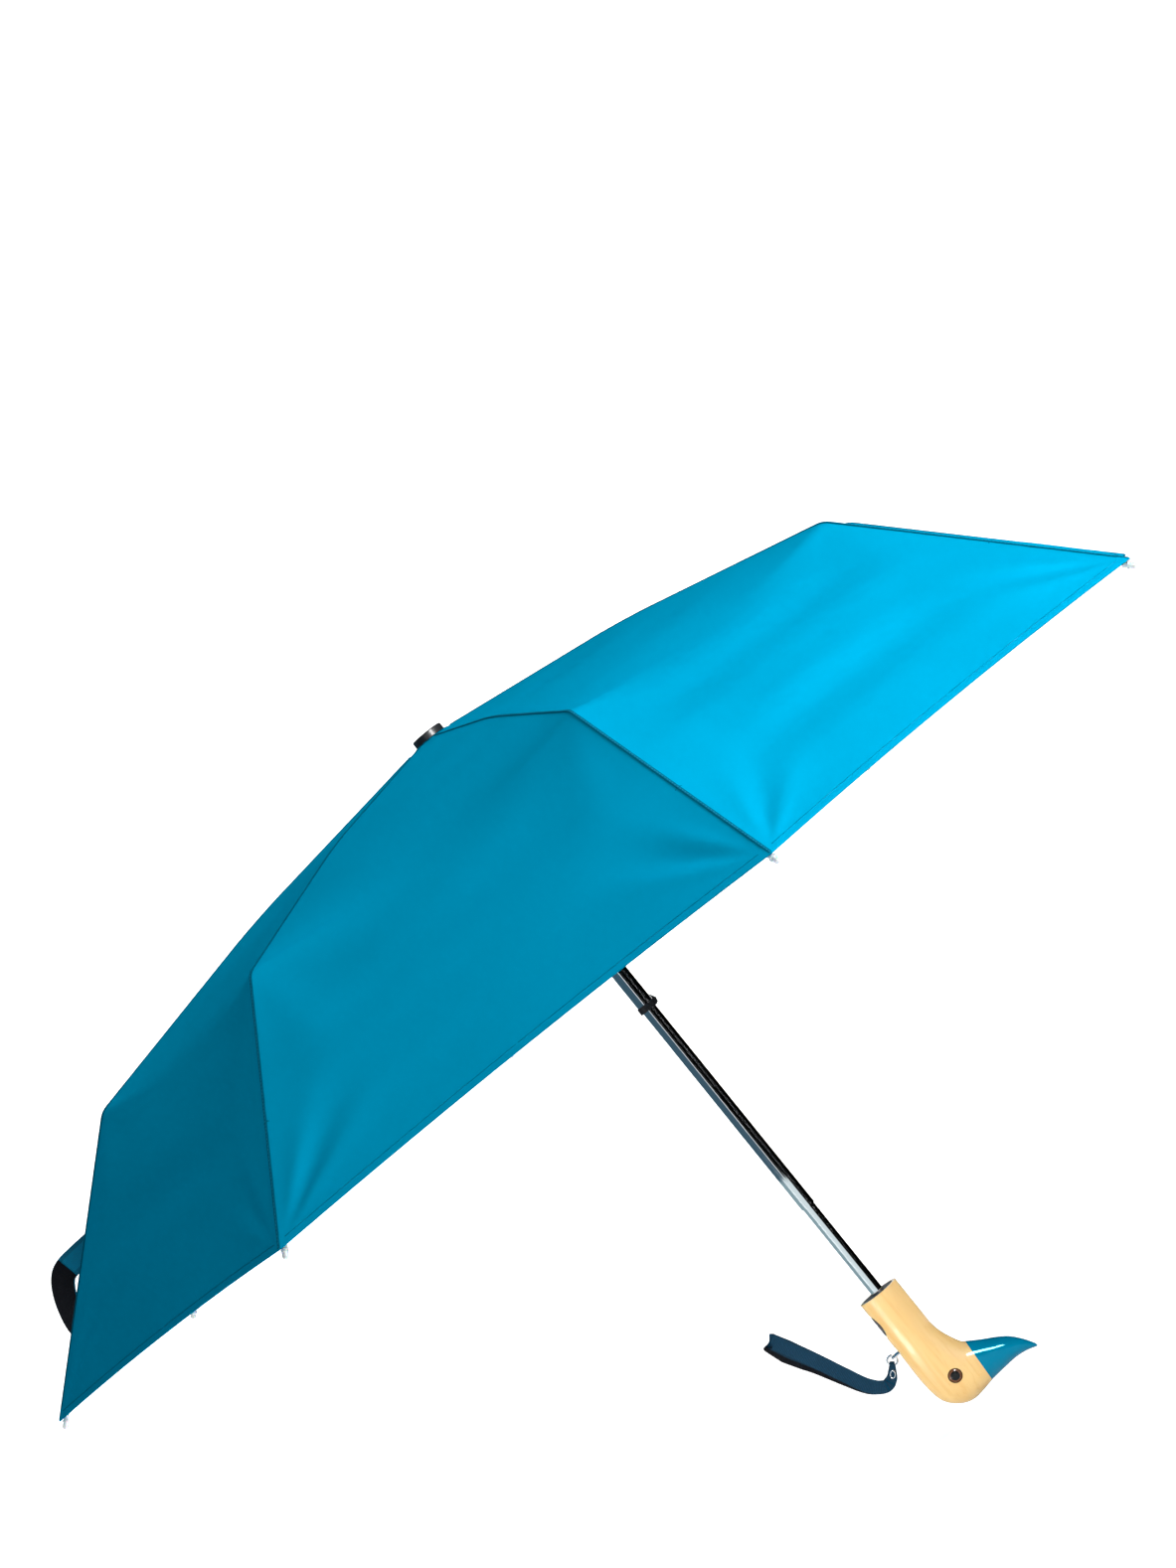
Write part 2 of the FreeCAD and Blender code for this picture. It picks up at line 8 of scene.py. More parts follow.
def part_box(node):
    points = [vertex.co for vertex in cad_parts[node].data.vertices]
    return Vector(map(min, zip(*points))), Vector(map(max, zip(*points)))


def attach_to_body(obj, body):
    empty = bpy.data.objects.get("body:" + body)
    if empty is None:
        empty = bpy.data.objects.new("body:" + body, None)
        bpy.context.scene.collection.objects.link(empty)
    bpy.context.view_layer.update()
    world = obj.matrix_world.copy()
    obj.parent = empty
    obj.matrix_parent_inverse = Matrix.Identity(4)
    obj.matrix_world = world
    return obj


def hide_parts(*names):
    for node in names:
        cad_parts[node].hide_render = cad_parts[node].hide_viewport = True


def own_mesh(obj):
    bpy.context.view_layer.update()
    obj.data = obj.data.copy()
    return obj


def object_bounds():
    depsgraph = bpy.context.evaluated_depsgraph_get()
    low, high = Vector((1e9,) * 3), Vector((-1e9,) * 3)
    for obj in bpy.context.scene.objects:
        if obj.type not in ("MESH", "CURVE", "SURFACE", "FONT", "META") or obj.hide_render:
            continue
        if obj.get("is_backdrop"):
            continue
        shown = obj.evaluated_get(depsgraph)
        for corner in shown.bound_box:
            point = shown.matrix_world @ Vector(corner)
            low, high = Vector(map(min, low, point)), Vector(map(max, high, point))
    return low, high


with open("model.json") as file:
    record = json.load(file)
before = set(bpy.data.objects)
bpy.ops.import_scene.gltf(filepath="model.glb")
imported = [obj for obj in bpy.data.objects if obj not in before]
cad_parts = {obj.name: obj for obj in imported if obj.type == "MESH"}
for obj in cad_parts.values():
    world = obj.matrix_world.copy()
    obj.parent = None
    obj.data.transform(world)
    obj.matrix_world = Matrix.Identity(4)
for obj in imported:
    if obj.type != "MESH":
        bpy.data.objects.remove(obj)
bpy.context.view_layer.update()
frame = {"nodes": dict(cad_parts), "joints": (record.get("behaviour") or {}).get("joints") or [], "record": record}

# ---- colours ----
CLOTH = (0.0, 0.29, 0.495)
# the canopy's underside: the top cloth's colour cut to about two fifths, painted shade
SHADED_CLOTH_UNDER = (0.0, 0.11, 0.20)
WEBBING = (0.0005, 0.028, 0.058)
# inner side of the wrist strap's loop: the same tape drawn near black, painted shade
WEBBING_INSIDE_SHADED = (0.001, 0.002, 0.005)
WEBBING_THREAD = (0.001, 0.036, 0.072)
PAINT = (0.0, 0.135, 0.23)
MAPLE_LIGHT = (0.62, 0.41, 0.165)
MAPLE_DARK = (0.54, 0.31, 0.09)
CHROME = (0.86, 0.88, 0.91)
EVEN = (1.0, 1.0, 1.0)          # stretch of a noise that has no grain direction

# ---- sizes, metres ----
RIBS = 8
CLOTH_THICKNESS = 0.00035
HEM = 0.007                     # width of the folded hem
HEM_THICKNESS = 0.0010
HEM_STITCHES_AT = 0.0052        # from the hem's edge
OVER_ROD = 0.0036               # height of the cloth above the middle of a rib's rods
OVER_SHOULDER = 0.0054          # and above its shoulder joints
OVER_CROWN = 0.0022
CROWN_HOLE = 0.0072             # radius of the hole in the cloth round the shaft
CROWN_EDGE = 0.0135             # radius at which the cloth leaves the flat top of the crown
SEAM_HALF_WIDTH = 0.0012
SEAM_THICKNESS = 0.0007
SEAM_FROM = 0.0125              # under the edge of the crown's rosette
THREAD_RADIUS = 0.00022
TIE_HALF_WIDTH = 0.0092
TIE_THICKNESS = 0.0009
TIE_SEWN_AT = 0.29              # share of the way from the panel's shoulder to its hem
WRIST_TAPE_THICKNESS = 0.0010
WRIST_ROWS = 90                 # points along the wrist strap's middle line
UP = np.array([0.0, 0.0, 1.0])

joints = {joint["name"]: joint for joint in frame["joints"]}


# ---- small helpers ----
def toned(colour, factor, lift=0.0):
    """Colour made darker or lighter."""
    return tuple(min(1.0, channel * factor + lift) for channel in colour)


def unit(vectors):
    """Vectors scaled to a length of one."""
    return vectors / np.linalg.norm(vectors, axis=-1, keepdims=True)


def rib_direction(azimuth):
    """Outward direction at an azimuth."""
    return np.array([math.cos(azimuth), math.sin(azimuth), 0.0])


def sideways(azimuth):
    """Level direction square to the outward one."""
    return np.array([-math.sin(azimuth), math.cos(azimuth), 0.0])


# ---- material building ----
def new_material(name):
    """Material with its node tree's nodes and links, and its main shader."""
    material = bpy.data.materials.new(name)
    material.use_nodes = True
    tree = material.node_tree
    return material, tree.nodes, tree.links, tree.nodes["Principled BSDF"]


def set_inputs(node, **values):
    """Sets a node's inputs by name, with _ for a space. A colour may leave out its alpha."""
    for label, value in values.items():
        key = label.replace("_", " ")
        if isinstance(value, tuple) and len(value) == 3:
            value = (*value, 1.0)
        node.inputs[key].default_value = value


def add(nodes, kind, **properties):
    """New node with its properties set."""
    node = nodes.new(kind)
    for key, value in properties.items():
        setattr(node, key, value)
    return node


def mix_colour(nodes, links, factor, low, high, blend="MIX"):
    """Mix node. low, high and factor are each a value or an output socket."""
    node = add(nodes, "ShaderNodeMix", data_type="RGBA", blend_type=blend)
    for socket, value in ((node.inputs[0], factor), (node.inputs[6], low), (node.inputs[7], high)):
        if isinstance(value, bpy.types.NodeSocket):
            links.new(value, socket)
        else:
            socket.default_value = (*value, 1.0) if isinstance(value, tuple) else value
    return node.outputs[2]


def arithmetic(nodes, links, operation, *values):
    """Output of a maths node. Each value is a number or an output socket."""
    node = add(nodes, "ShaderNodeMath", operation=operation)
    for socket, value in zip(node.inputs, values):
        if isinstance(value, bpy.types.NodeSocket):
            links.new(value, socket)
        else:
            socket.default_value = value
    return node.outputs[0]


def ramp(nodes, links, factor, low, high):
    """0 below low, 1 above high."""
    node = add(nodes, "ShaderNodeMapRange", interpolation_type="SMOOTHSTEP")
    links.new(factor, node.inputs[0])
    node.inputs[1].default_value = low
    node.inputs[2].default_value = high
    return node.outputs[0]


def bump(nodes, links, height, strength, distance, normal=None):
    """Normal bent by a height, on top of another normal if there is one."""
    node = add(nodes, "ShaderNodeBump")
    node.inputs["Strength"].default_value = strength
    node.inputs["Distance"].default_value = distance
    links.new(height, node.inputs["Height"])
    if normal is not None:
        links.new(normal, node.inputs["Normal"])
    return node.outputs["Normal"]


def object_noise(nodes, links, scale, detail=4.0, stretch=EVEN, distortion=0.0):
    """Noise from 0 to 1, fixed to the object. A low stretch along an axis draws it out there."""
    place = add(nodes, "ShaderNodeTexCoord")
    mapping = add(nodes, "ShaderNodeMapping")
    mapping.inputs["Scale"].default_value = stretch
    noise = add(nodes, "ShaderNodeTexNoise")
    set_inputs(noise, Scale=scale, Detail=detail, Distortion=distortion)
    links.new(place.outputs["Object"], mapping.inputs["Vector"])
    links.new(mapping.outputs["Vector"], noise.inputs["Vector"])
    return noise.outputs["Fac"]


def panel_coordinates(nodes, links):
    """UV of the cloth in metres: U across from the rib, V along it."""
    uv = add(nodes, "ShaderNodeUVMap", uv_map="cloth")
    split = add(nodes, "ShaderNodeSeparateXYZ")
    links.new(uv.outputs["UV"], split.inputs[0])
    return split.outputs[0], split.outputs[1]


def weave_height(nodes, links, across, along, pitch):
    """Plain weave: crossing waves of one pitch."""
    turns = 2 * math.pi / pitch
    a = arithmetic(nodes, links, "SINE", arithmetic(nodes, links, "MULTIPLY", across, turns))
    b = arithmetic(nodes, links, "SINE", arithmetic(nodes, links, "MULTIPLY", along, turns))
    return arithmetic(nodes, links, "MULTIPLY", a, b)


def coloured_gloss(nodes, links, shader, colour, roughness, share, normal):
    """Lays a gloss of one colour over a shader that has none of its own."""
    shader.inputs["Specular IOR Level"].default_value = 0.0
    gloss = add(nodes, "ShaderNodeBsdfGlossy")
    gloss.inputs["Color"].default_value = (*colour, 1.0)
    links.new(normal, gloss.inputs["Normal"])
    if isinstance(roughness, bpy.types.NodeSocket):
        links.new(roughness, gloss.inputs["Roughness"])
    else:
        gloss.inputs["Roughness"].default_value = roughness
    blend = add(nodes, "ShaderNodeMixShader")
    blend.inputs[0].default_value = share
    links.new(shader.outputs[0], blend.inputs[1])
    links.new(gloss.outputs[0], blend.inputs[2])
    links.new(blend.outputs[0], nodes["Material Output"].inputs["Surface"])


def cloth_material(name, colour, gloss=0.14):
    """Satin polyester with a fine weave and faint pressed creases. Its gloss has the cloth's own hue."""
    material, nodes, links, shader = new_material(name)
    across, along = panel_coordinates(nodes, links)
    broad = object_noise(nodes, links, 9.0, 3.0)
    fine = object_noise(nodes, links, 900.0, 2.0)
    mottled = mix_colour(nodes, links, broad, toned(colour, 0.92), toned(colour, 1.06))
    faint = arithmetic(nodes, links, "MULTIPLY", fine, 0.10)
    tone = mix_colour(nodes, links, faint, mottled, (0.4, 0.8, 1.0), "OVERLAY")
    links.new(tone, shader.inputs["Base Color"])
    rough = arithmetic(nodes, links, "MULTIPLY_ADD", broad, 0.12, 0.36)
    weave = weave_height(nodes, links, across, along, 0.0009)
    folds = object_noise(nodes, links, 14.0, 2.0, EVEN, 0.4)
    normal = bump(nodes, links, weave, 0.12, 0.0003)
    normal = bump(nodes, links, folds, 0.12, 0.002, normal)
    links.new(normal, shader.inputs["Normal"])
    shader.inputs["Roughness"].default_value = 0.8
    coloured_gloss(nodes, links, shader, (0.0, 0.55, 0.90), rough, gloss, normal)
    return material


def stitched_material(name, colour, pitch=0.0026):
    """Folded seam cloth with a row of stitches along its middle."""
    material, nodes, links, shader = new_material(name)
    across, along = panel_coordinates(nodes, links)
    row = arithmetic(nodes, links, "ABSOLUTE", across)
    near = arithmetic(nodes, links, "SUBTRACT", 1.0, ramp(nodes, links, row, 0.00018, 0.00045))
    turns = arithmetic(nodes, links, "MULTIPLY", along, 2 * math.pi / pitch)
    wave = arithmetic(nodes, links, "SINE", turns)
    dash = ramp(nodes, links, wave, -0.5, -0.1)
    stitch = arithmetic(nodes, links, "MULTIPLY", near, dash)
    grain = object_noise(nodes, links, 500.0, 2.0)
    base = mix_colour(nodes, links, grain, toned(colour, 0.7), colour)
    tone = mix_colour(nodes, links, stitch, base, toned(colour, 1.5, 0.02))
    links.new(tone, shader.inputs["Base Color"])
    roughened = arithmetic(nodes, links, "MULTIPLY", grain, 0.25)
    height = arithmetic(nodes, links, "MULTIPLY_ADD", stitch, 1.0, roughened)
    normal = bump(nodes, links, height, 0.6, 0.0004)
    links.new(normal, shader.inputs["Normal"])
    coloured_gloss(nodes, links, shader, (0.0, 0.5, 0.8), 0.5, 0.05, normal)
    return material


def maple_material():
    """Pale turned maple under a glossy lacquer."""
    material, nodes, links, shader = new_material("lacquered_maple")
    long_grain = object_noise(nodes, links, 260.0, 6.0, (1.0, 1.0, 0.05), 0.4)
    broad = object_noise(nodes, links, 46.0, 3.0, (1.0, 1.0, 0.18), 0.8)
    pores = object_noise(nodes, links, 1500.0, 2.0, (1.0, 1.0, 0.03))
    between = tuple(0.6 * a + 0.4 * b for a, b in zip(MAPLE_LIGHT, MAPLE_DARK))
    tone = mix_colour(nodes, links, ramp(nodes, links, broad, 0.30, 0.72), MAPLE_LIGHT, between)
    streak = arithmetic(nodes, links, "MULTIPLY", ramp(nodes, links, long_grain, 0.48, 0.70), 0.45)
    tone = mix_colour(nodes, links, streak, tone, MAPLE_DARK)
    fleck = arithmetic(nodes, links, "MULTIPLY", ramp(nodes, links, pores, 0.62, 0.72), 0.35)
    tone = mix_colour(nodes, links, fleck, tone, (0.45, 0.25, 0.10))
    links.new(tone, shader.inputs["Base Color"])
    set_inputs(shader, Roughness=0.45, Coat_Weight=0.6, Coat_Roughness=0.08, Specular_IOR_Level=0.2,
               Subsurface_Weight=0.06, Subsurface_Scale=0.004)
    links.new(bump(nodes, links, long_grain, 0.10, 0.0003), shader.inputs["Normal"])
    dents = object_noise(nodes, links, 60.0, 2.0)
    links.new(bump(nodes, links, dents, 0.06, 0.002), shader.inputs["Coat Normal"])
    return material


def lacquer_material():
    """Glossy paint with the slight waviness of a dipped coat. Its reflections take on the paint's hue."""
    material, nodes, links, shader = new_material("beak_lacquer")
    waves = object_noise(nodes, links, 45.0, 2.0)
    dust = object_noise(nodes, links, 1400.0, 1.0)
    tone = mix_colour(nodes, links, waves, toned(PAINT, 0.88), toned(PAINT, 1.1))
    links.new(tone, shader.inputs["Base Color"])
    links.new(arithmetic(nodes, links, "MULTIPLY_ADD", dust, 0.03, 0.03), shader.inputs["Roughness"])
    set_inputs(shader, Specular_IOR_Level=0.5, Specular_Tint=(0.25, 0.85, 1.0))
    links.new(bump(nodes, links, waves, 0.10, 0.002), shader.inputs["Normal"])
    return material


def plastic_material(name, colour, roughness, coat=0.0, texture=0.15, shine=0.5):
    """Moulded plastic with a fine spark-eroded texture and faint scuffs."""
    material, nodes, links, shader = new_material(name)
    fine = object_noise(nodes, links, 1800.0, 2.0)
    scuff = object_noise(nodes, links, 120.0, 5.0, (1.0, 1.0, 0.3), 1.0)
    worn = ramp(nodes, links, scuff, 0.45, 0.8)
    tone = mix_colour(nodes, links, worn, colour, toned(colour, 1.5, 0.01))
    links.new(tone, shader.inputs["Base Color"])
    rough = arithmetic(nodes, links, "MULTIPLY_ADD", scuff, 0.15, roughness - 0.07)
    links.new(rough, shader.inputs["Roughness"])
    set_inputs(shader, Coat_Weight=coat, Coat_Roughness=0.08, Specular_IOR_Level=shine)
    links.new(bump(nodes, links, fine, texture, 0.0002), shader.inputs["Normal"])
    return material


def metal_material(name, colour, roughness, drawn=(1.0, 1.0, 0.02), texture=0.05):
    """Metal with drawing marks along the shaft, or an even grain, and smudges of handling."""
    material, nodes, links, shader = new_material(name)
    marks = object_noise(nodes, links, 900.0, 4.0, drawn)
    smudge = object_noise(nodes, links, 35.0, 4.0)
    tone = mix_colour(nodes, links, marks, toned(colour, 0.9), colour)
    links.new(tone, shader.inputs["Base Color"])
    rough = arithmetic(nodes, links, "MULTIPLY_ADD", smudge, roughness * 0.8, roughness * 0.6)
    links.new(rough, shader.inputs["Roughness"])
    set_inputs(shader, Metallic=1.0)
    links.new(bump(nodes, links, marks, texture, 0.0002), shader.inputs["Normal"])
    return material


def eye_material():
    """Black glass bead with a brown ring in its depth."""
    material, nodes, links, shader = new_material("eye_glass")
    place = add(nodes, "ShaderNodeTexCoord")
    split = add(nodes, "ShaderNodeSeparateXYZ")
    links.new(place.outputs["Object"], split.inputs[0])
    low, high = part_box("eyes")
    centre = (low + high) / 2
    dx = arithmetic(nodes, links, "SUBTRACT", split.outputs[0], centre.x)
    dz = arithmetic(nodes, links, "SUBTRACT", split.outputs[2], centre.z)
    dz_squared = arithmetic(nodes, links, "MULTIPLY", dz, dz)
    squares = arithmetic(nodes, links, "MULTIPLY_ADD", dx, dx, dz_squared)
    distance = arithmetic(nodes, links, "SQRT", squares)
    pupil = ramp(nodes, links, distance, 0.0031, 0.0034)
    rim = ramp(nodes, links, distance, 0.0046, 0.0050)
    speck = object_noise(nodes, links, 700.0, 3.0)
    iris = mix_colour(nodes, links, speck, (0.060, 0.022, 0.010), (0.15, 0.060, 0.025))
    tone = mix_colour(nodes, links, pupil, (0.003, 0.003, 0.003), iris)
    tone = mix_colour(nodes, links, rim, tone, (0.006, 0.005, 0.005))
    links.new(tone, shader.inputs["Base Color"])
    set_inputs(shader, Roughness=0.25, Coat_Weight=0.5, Coat_Roughness=0.02, Specular_IOR_Level=0.1)
    links.new(bump(nodes, links, speck, 0.02, 0.0002), shader.inputs["Normal"])
    return material


def tip_material():
    """Milky, half-clear moulded nylon."""
    material, nodes, links, shader = new_material("tip_nylon")
    cloud = object_noise(nodes, links, 300.0, 3.0)
    tone = mix_colour(nodes, links, cloud, (0.72, 0.80, 0.84), (0.92, 0.96, 0.98))
    links.new(tone, shader.inputs["Base Color"])
    set_inputs(shader, Roughness=0.25, Transmission_Weight=0.35, Subsurface_Weight=0.35,
               Subsurface_Scale=0.003, Coat_Weight=0.3, Coat_Roughness=0.1)
    links.new(bump(nodes, links, cloud, 0.08, 0.0003), shader.inputs["Normal"])
    return material


def webbing_material(name, colour, edge):
    """Ribbed polyester tape: cross ribs and a twill with painted shade in the rib troughs, darker from just inside
    each edge outwards.
    """
    material, nodes, links, shader = new_material(name)
    across, along = panel_coordinates(nodes, links)
    turns = arithmetic(nodes, links, "MULTIPLY", along, 2 * math.pi / 0.0011)
    rib = arithmetic(nodes, links, "SINE", turns)
    slant = arithmetic(nodes, links, "MULTIPLY_ADD", across, 2 * math.pi / 0.0009, rib)
    twill = arithmetic(nodes, links, "SINE", slant)
    fine = arithmetic(nodes, links, "MULTIPLY", twill, 0.4)
    height = arithmetic(nodes, links, "MULTIPLY_ADD", rib, 0.6, fine)
    from_middle = arithmetic(nodes, links, "ABSOLUTE", across)
    border = ramp(nodes, links, from_middle, edge * 0.80, edge * 0.86)
    # troughs of the ribs drawn darker than the crests: painted shade
    crests_lit_troughs_shaded = ramp(nodes, links, height, -0.6, 0.8)
    tone = mix_colour(nodes, links, crests_lit_troughs_shaded, toned(colour, 0.55), colour)
    tone = mix_colour(nodes, links, border, tone, toned(colour, 0.5))
    links.new(tone, shader.inputs["Base Color"])
    set_inputs(shader, Roughness=0.7, Specular_IOR_Level=0.12)
    links.new(bump(nodes, links, height, 0.45, 0.0003), shader.inputs["Normal"])
    return material


def hook_material():
    """Hook-and-loop tape: a mat of fine loops."""
    material, nodes, links, shader = new_material("hook_tape")
    mat = object_noise(nodes, links, 1600.0, 3.0)
    tone = mix_colour(nodes, links, mat, (0.002, 0.002, 0.004), (0.010, 0.011, 0.014))
    links.new(tone, shader.inputs["Base Color"])
    set_inputs(shader, Roughness=0.85, Specular_IOR_Level=0.1)
    links.new(bump(nodes, links, mat, 0.9, 0.0008), shader.inputs["Normal"])
    return material


cloth_top = cloth_material("canopy_satin", CLOTH)
# the underside material carries the painted shade colour of the canopy's inner side
shaded_cloth_under = cloth_material("canopy_underside_shaded", SHADED_CLOTH_UNDER, gloss=0.06)
# seams and crown rosette: the canopy cloth's colour cut to 0.45, painted shade of the creases over the ribs and
# under the cap
shaded_seam_cloth = stitched_material("shaded_seam_cloth", toned(CLOTH, 0.45))
strap_cloth = webbing_material("strap_webbing", WEBBING, 0.0056)
# the loop's inner side, in near-black painted shade
strap_inside_shaded = webbing_material("strap_inside_shaded", WEBBING_INSIDE_SHADED, 0.0056)
tie_cloth = webbing_material("tie_tape", toned(CLOTH, 0.85), 0.007)
hook_tape = hook_material()
thread = plastic_material("sewing_thread", toned(CLOTH, 0.5), 0.8, shine=0.0)
strap_thread = plastic_material("strap_thread", WEBBING_THREAD, 0.8, shine=0.0)

SLOT_LOOKS = {
    "maple": maple_material(),
    "beak_lacquer": lacquer_material(),
    "eye_gloss": eye_material(),
    "black_plastic": plastic_material("black_nylon", (0.006, 0.006, 0.007), 0.45, shine=0.12),
    "cap_plastic": plastic_material("cap_black", (0.012, 0.012, 0.014), 0.30, 0.4, 0.08),
    "button_plastic": plastic_material("button_black", (0.010, 0.010, 0.011), 0.33, 0.3, 0.10),
    "spring_steel": metal_material("spring_steel", (0.62, 0.62, 0.64), 0.25, EVEN),
    "staple_steel": metal_material("staple_steel", (0.80, 0.80, 0.82), 0.12, EVEN),
    "ring_steel": metal_material("ring_steel", (0.82, 0.82, 0.84), 0.15, EVEN),
    "inner_chrome": metal_material("inner_chrome", CHROME, 0.05, texture=0.01),
    "middle_chrome": metal_material("middle_chrome", CHROME, 0.05, texture=0.01),
    "outer_chrome": metal_material("outer_chrome", CHROME, 0.05, texture=0.01),
    "rib_steel": metal_material("rib_steel", (0.46, 0.47, 0.50), 0.30, EVEN, 0.08),
    "rib_aluminium": metal_material("rib_aluminium", (0.66, 0.67, 0.70), 0.34, EVEN, 0.08),
    "fibre_rod": plastic_material("fibre_rod", (0.02, 0.02, 0.022), 0.30, 0.2, 0.2),
    "tip_plastic": tip_material(),
    "canopy_cloth": cloth_top,
    "tie_cloth": tie_cloth,
    "strap_webbing": strap_cloth,
}


def dress_cad_nodes():
    """Gives each CAD node the look of its material slot."""
    for part in frame["record"]["subparts"]:
        piece = frame["nodes"][part["node"]]
        piece.data.materials.clear()
        piece.data.materials.append(SLOT_LOOKS[part["material_slot"]])


# ---- mesh building ----
def make_object(name, vertices, faces, materials, face_slots=None, uv=None, normals=None):
    """Smooth mesh object. uv is one (u, v) pair and normals one normal per vertex."""
    mesh = bpy.data.meshes.new(name)
    mesh.from_pydata([tuple(v) for v in vertices], [], faces)
    for material in materials:
        mesh.materials.append(material)
    if face_slots is not None:
        mesh.polygons.foreach_set("material_index", face_slots)
    mesh.polygons.foreach_set("use_smooth", [True] * len(mesh.polygons))
    if uv is not None:
        layer = mesh.uv_layers.new(name="cloth")
        loops = np.zeros(len(mesh.loops), int)
        mesh.loops.foreach_get("vertex_index", loops)
        layer.data.foreach_set("uv", np.asarray(uv, float)[loops].ravel())
    mesh.update()
    if normals is not None:
        mesh.normals_split_custom_set_from_vertices([tuple(n) for n in normals])
    piece = bpy.data.objects.new(name, mesh)
    bpy.context.scene.collection.objects.link(piece)
    return piece


def thick_sheet(name, points, normals, thickness, uv, top_material, under_material):
    """Closed sheet from a grid of points with its top side on them. points is (rows, columns, 3)."""
    rows, columns = points.shape[:2]
    count = rows * columns
    thickness = np.broadcast_to(np.asarray(thickness, float), (rows, columns))
    lower = points - normals * thickness[..., None]
    vertices = np.concatenate([points.reshape(-1, 3), lower.reshape(-1, 3)])
    shading = np.concatenate([normals.reshape(-1, 3), -normals.reshape(-1, 3)])
    faces, slots = [], []
    for r in range(rows - 1):
        for c in range(columns - 1):
            a = r * columns + c
            quad = (a, a + 1, a + columns + 1, a + columns)
            faces.append(quad)
            slots.append(0)
            faces.append(tuple(count + i for i in reversed(quad)))
            slots.append(1)
    border = list(range(columns))
    border += [r * columns + columns - 1 for r in range(1, rows)]
    border += [(rows - 1) * columns + c for c in range(columns - 2, -1, -1)]
    border += [r * columns for r in range(rows - 2, 0, -1)]
    for a, b in zip(border, border[1:] + border[:1]):
        faces.append((b, a, count + a, count + b))
        slots.append(0)
    first = np.array(faces[0])
    edges = vertices[first[[1, 3]]] - vertices[first[0]]
    if np.cross(edges[0], edges[1]) @ normals[0, 0] < 0:
        faces = [tuple(reversed(f)) for f in faces]
    both = np.concatenate([uv.reshape(-1, 2)] * 2)
    return make_object(name, vertices, faces, [top_material, under_material], slots, both, shading)


def tube_along(name, path, radius, material, sides=6, closed=False):
    """Round cord through points, as one closed mesh."""
    path = np.asarray(path, float)
    count = len(path)
    vertices, faces = [], []
    for i in range(count):
        before = path[i - 1] if closed or i else path[0]
        after = path[(i + 1) % count] if closed or i < count - 1 else path[i]
        tangent = unit(after - before)
        side = np.cross(tangent, UP)
        if np.linalg.norm(side) < 0.2:
            side = np.cross(tangent, np.array([1.0, 0.0, 0.0]))
        side = unit(side)
        up = np.cross(side, tangent)
        for k in range(sides):
            angle = 2 * math.pi * k / sides
            vertices.append(path[i] + radius * (math.cos(angle) * side + math.sin(angle) * up))
    for i in range(count if closed else count - 1):
        here, ahead = i * sides, (i + 1) % count * sides
        for k in range(sides):
            j = (k + 1) % sides
            faces.append((here + k, here + j, ahead + j, ahead + k))
    if not closed:
        faces.append(tuple(reversed(range(sides))))
        faces.append(tuple((count - 1) * sides + k for k in range(sides)))
    uv = [(0.0, 0.0)] * len(vertices)
    return make_object(name, vertices, faces, [material], uv=uv)


def attach(piece, body, furl=None):
    """Puts a piece on its body. With a furl, the axis and anchor a half panel gathers along, the piece gets a mesh
    of its own.
    """
    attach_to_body(piece, body)
    if furl:
        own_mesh(piece)


# ---- the canopy's shape ----
def rib_place(rib):
    """Azimuth of a rib's plane, from where its crown pivot is."""
    pivot = joints["canopy_fold" if rib == 0 else f"top_hinge_{rib + 1}"]["pos_m"]
    return math.atan2(pivot[1], pivot[0])


def in_rib_plane(point):
    """Radius and height of a point."""
    return math.hypot(point[0], point[1]), point[2]


def offset_along(start, end, back, away):
    """Point past end by back along the line from start, and away from the line on its upper side."""
    dx, dz = end[0] - start[0], end[1] - start[1]
    length = math.hypot(dx, dz)
    ux, uz = dx / length, dz / length
    return end[0] + ux * back - uz * away, end[1] + uz * back + ux * away


def rib_profile():
    """(radius, height) of the cloth over a rib: crown, knuckle, shoulder and hem corner."""
    crown_pin = in_rib_plane(joints["canopy_fold"]["pos_m"])
    knuckle = in_rib_plane(joints["knuckle_hinge_1"]["pos_m"])
    shoulder = in_rib_plane(joints["shoulder_hinge_1"]["pos_m"])
    low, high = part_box("rib_tip_1")
    farthest = [b if a + b > 0 else a for a, b in ((low.x, high.x), (low.y, high.y))]
    tip = (math.hypot(*farthest) - 0.0035, (low.z + high.z) / 2)
    over_knuckle = offset_along(crown_pin, knuckle, 0, OVER_ROD)
    over_shoulder = offset_along(knuckle, shoulder, 0.0010, OVER_SHOULDER)
    corner = offset_along(shoulder, tip, -0.0005, OVER_ROD)
    crown_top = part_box("crown")[1].z + OVER_CROWN
    return [(CROWN_HOLE, crown_top), (CROWN_EDGE, crown_top), over_knuckle, over_shoulder, corner]


PROFILE = rib_profile()
STATIONS = np.concatenate([[0.0], np.cumsum([math.dist(a, b) for a, b in zip(PROFILE, PROFILE[1:])])])
CROWN_AT, KNUCKLE_AT, SHOULDER_AT, HEM_AT = STATIONS[1:]
HALF_STEP = math.pi / RIBS


def along_rib(distance):
    """Radius and height of the cloth over a rib at a distance from the crown, with the corners eased."""
    def corners(d):
        """The same line with its corners sharp."""
        radius = np.interp(d, STATIONS, [p[0] for p in PROFILE])
        height = np.interp(d, STATIONS, [p[1] for p in PROFILE])
        return np.stack([radius, height], -1)

    ease = 0.004 + 0.02 * np.exp(-((distance - KNUCKLE_AT) / 0.05) ** 2)
    total = sum(corners(np.clip(distance + k * ease, 0, HEM_AT)) for k in (-1.0, -0.5, 0.0, 0.5, 1.0))
    exact = corners(distance)
    inside = np.clip(np.minimum(distance, HEM_AT - distance) / 0.006, 0, 1)[..., None]
    return exact + (total / 5 - exact) * inside


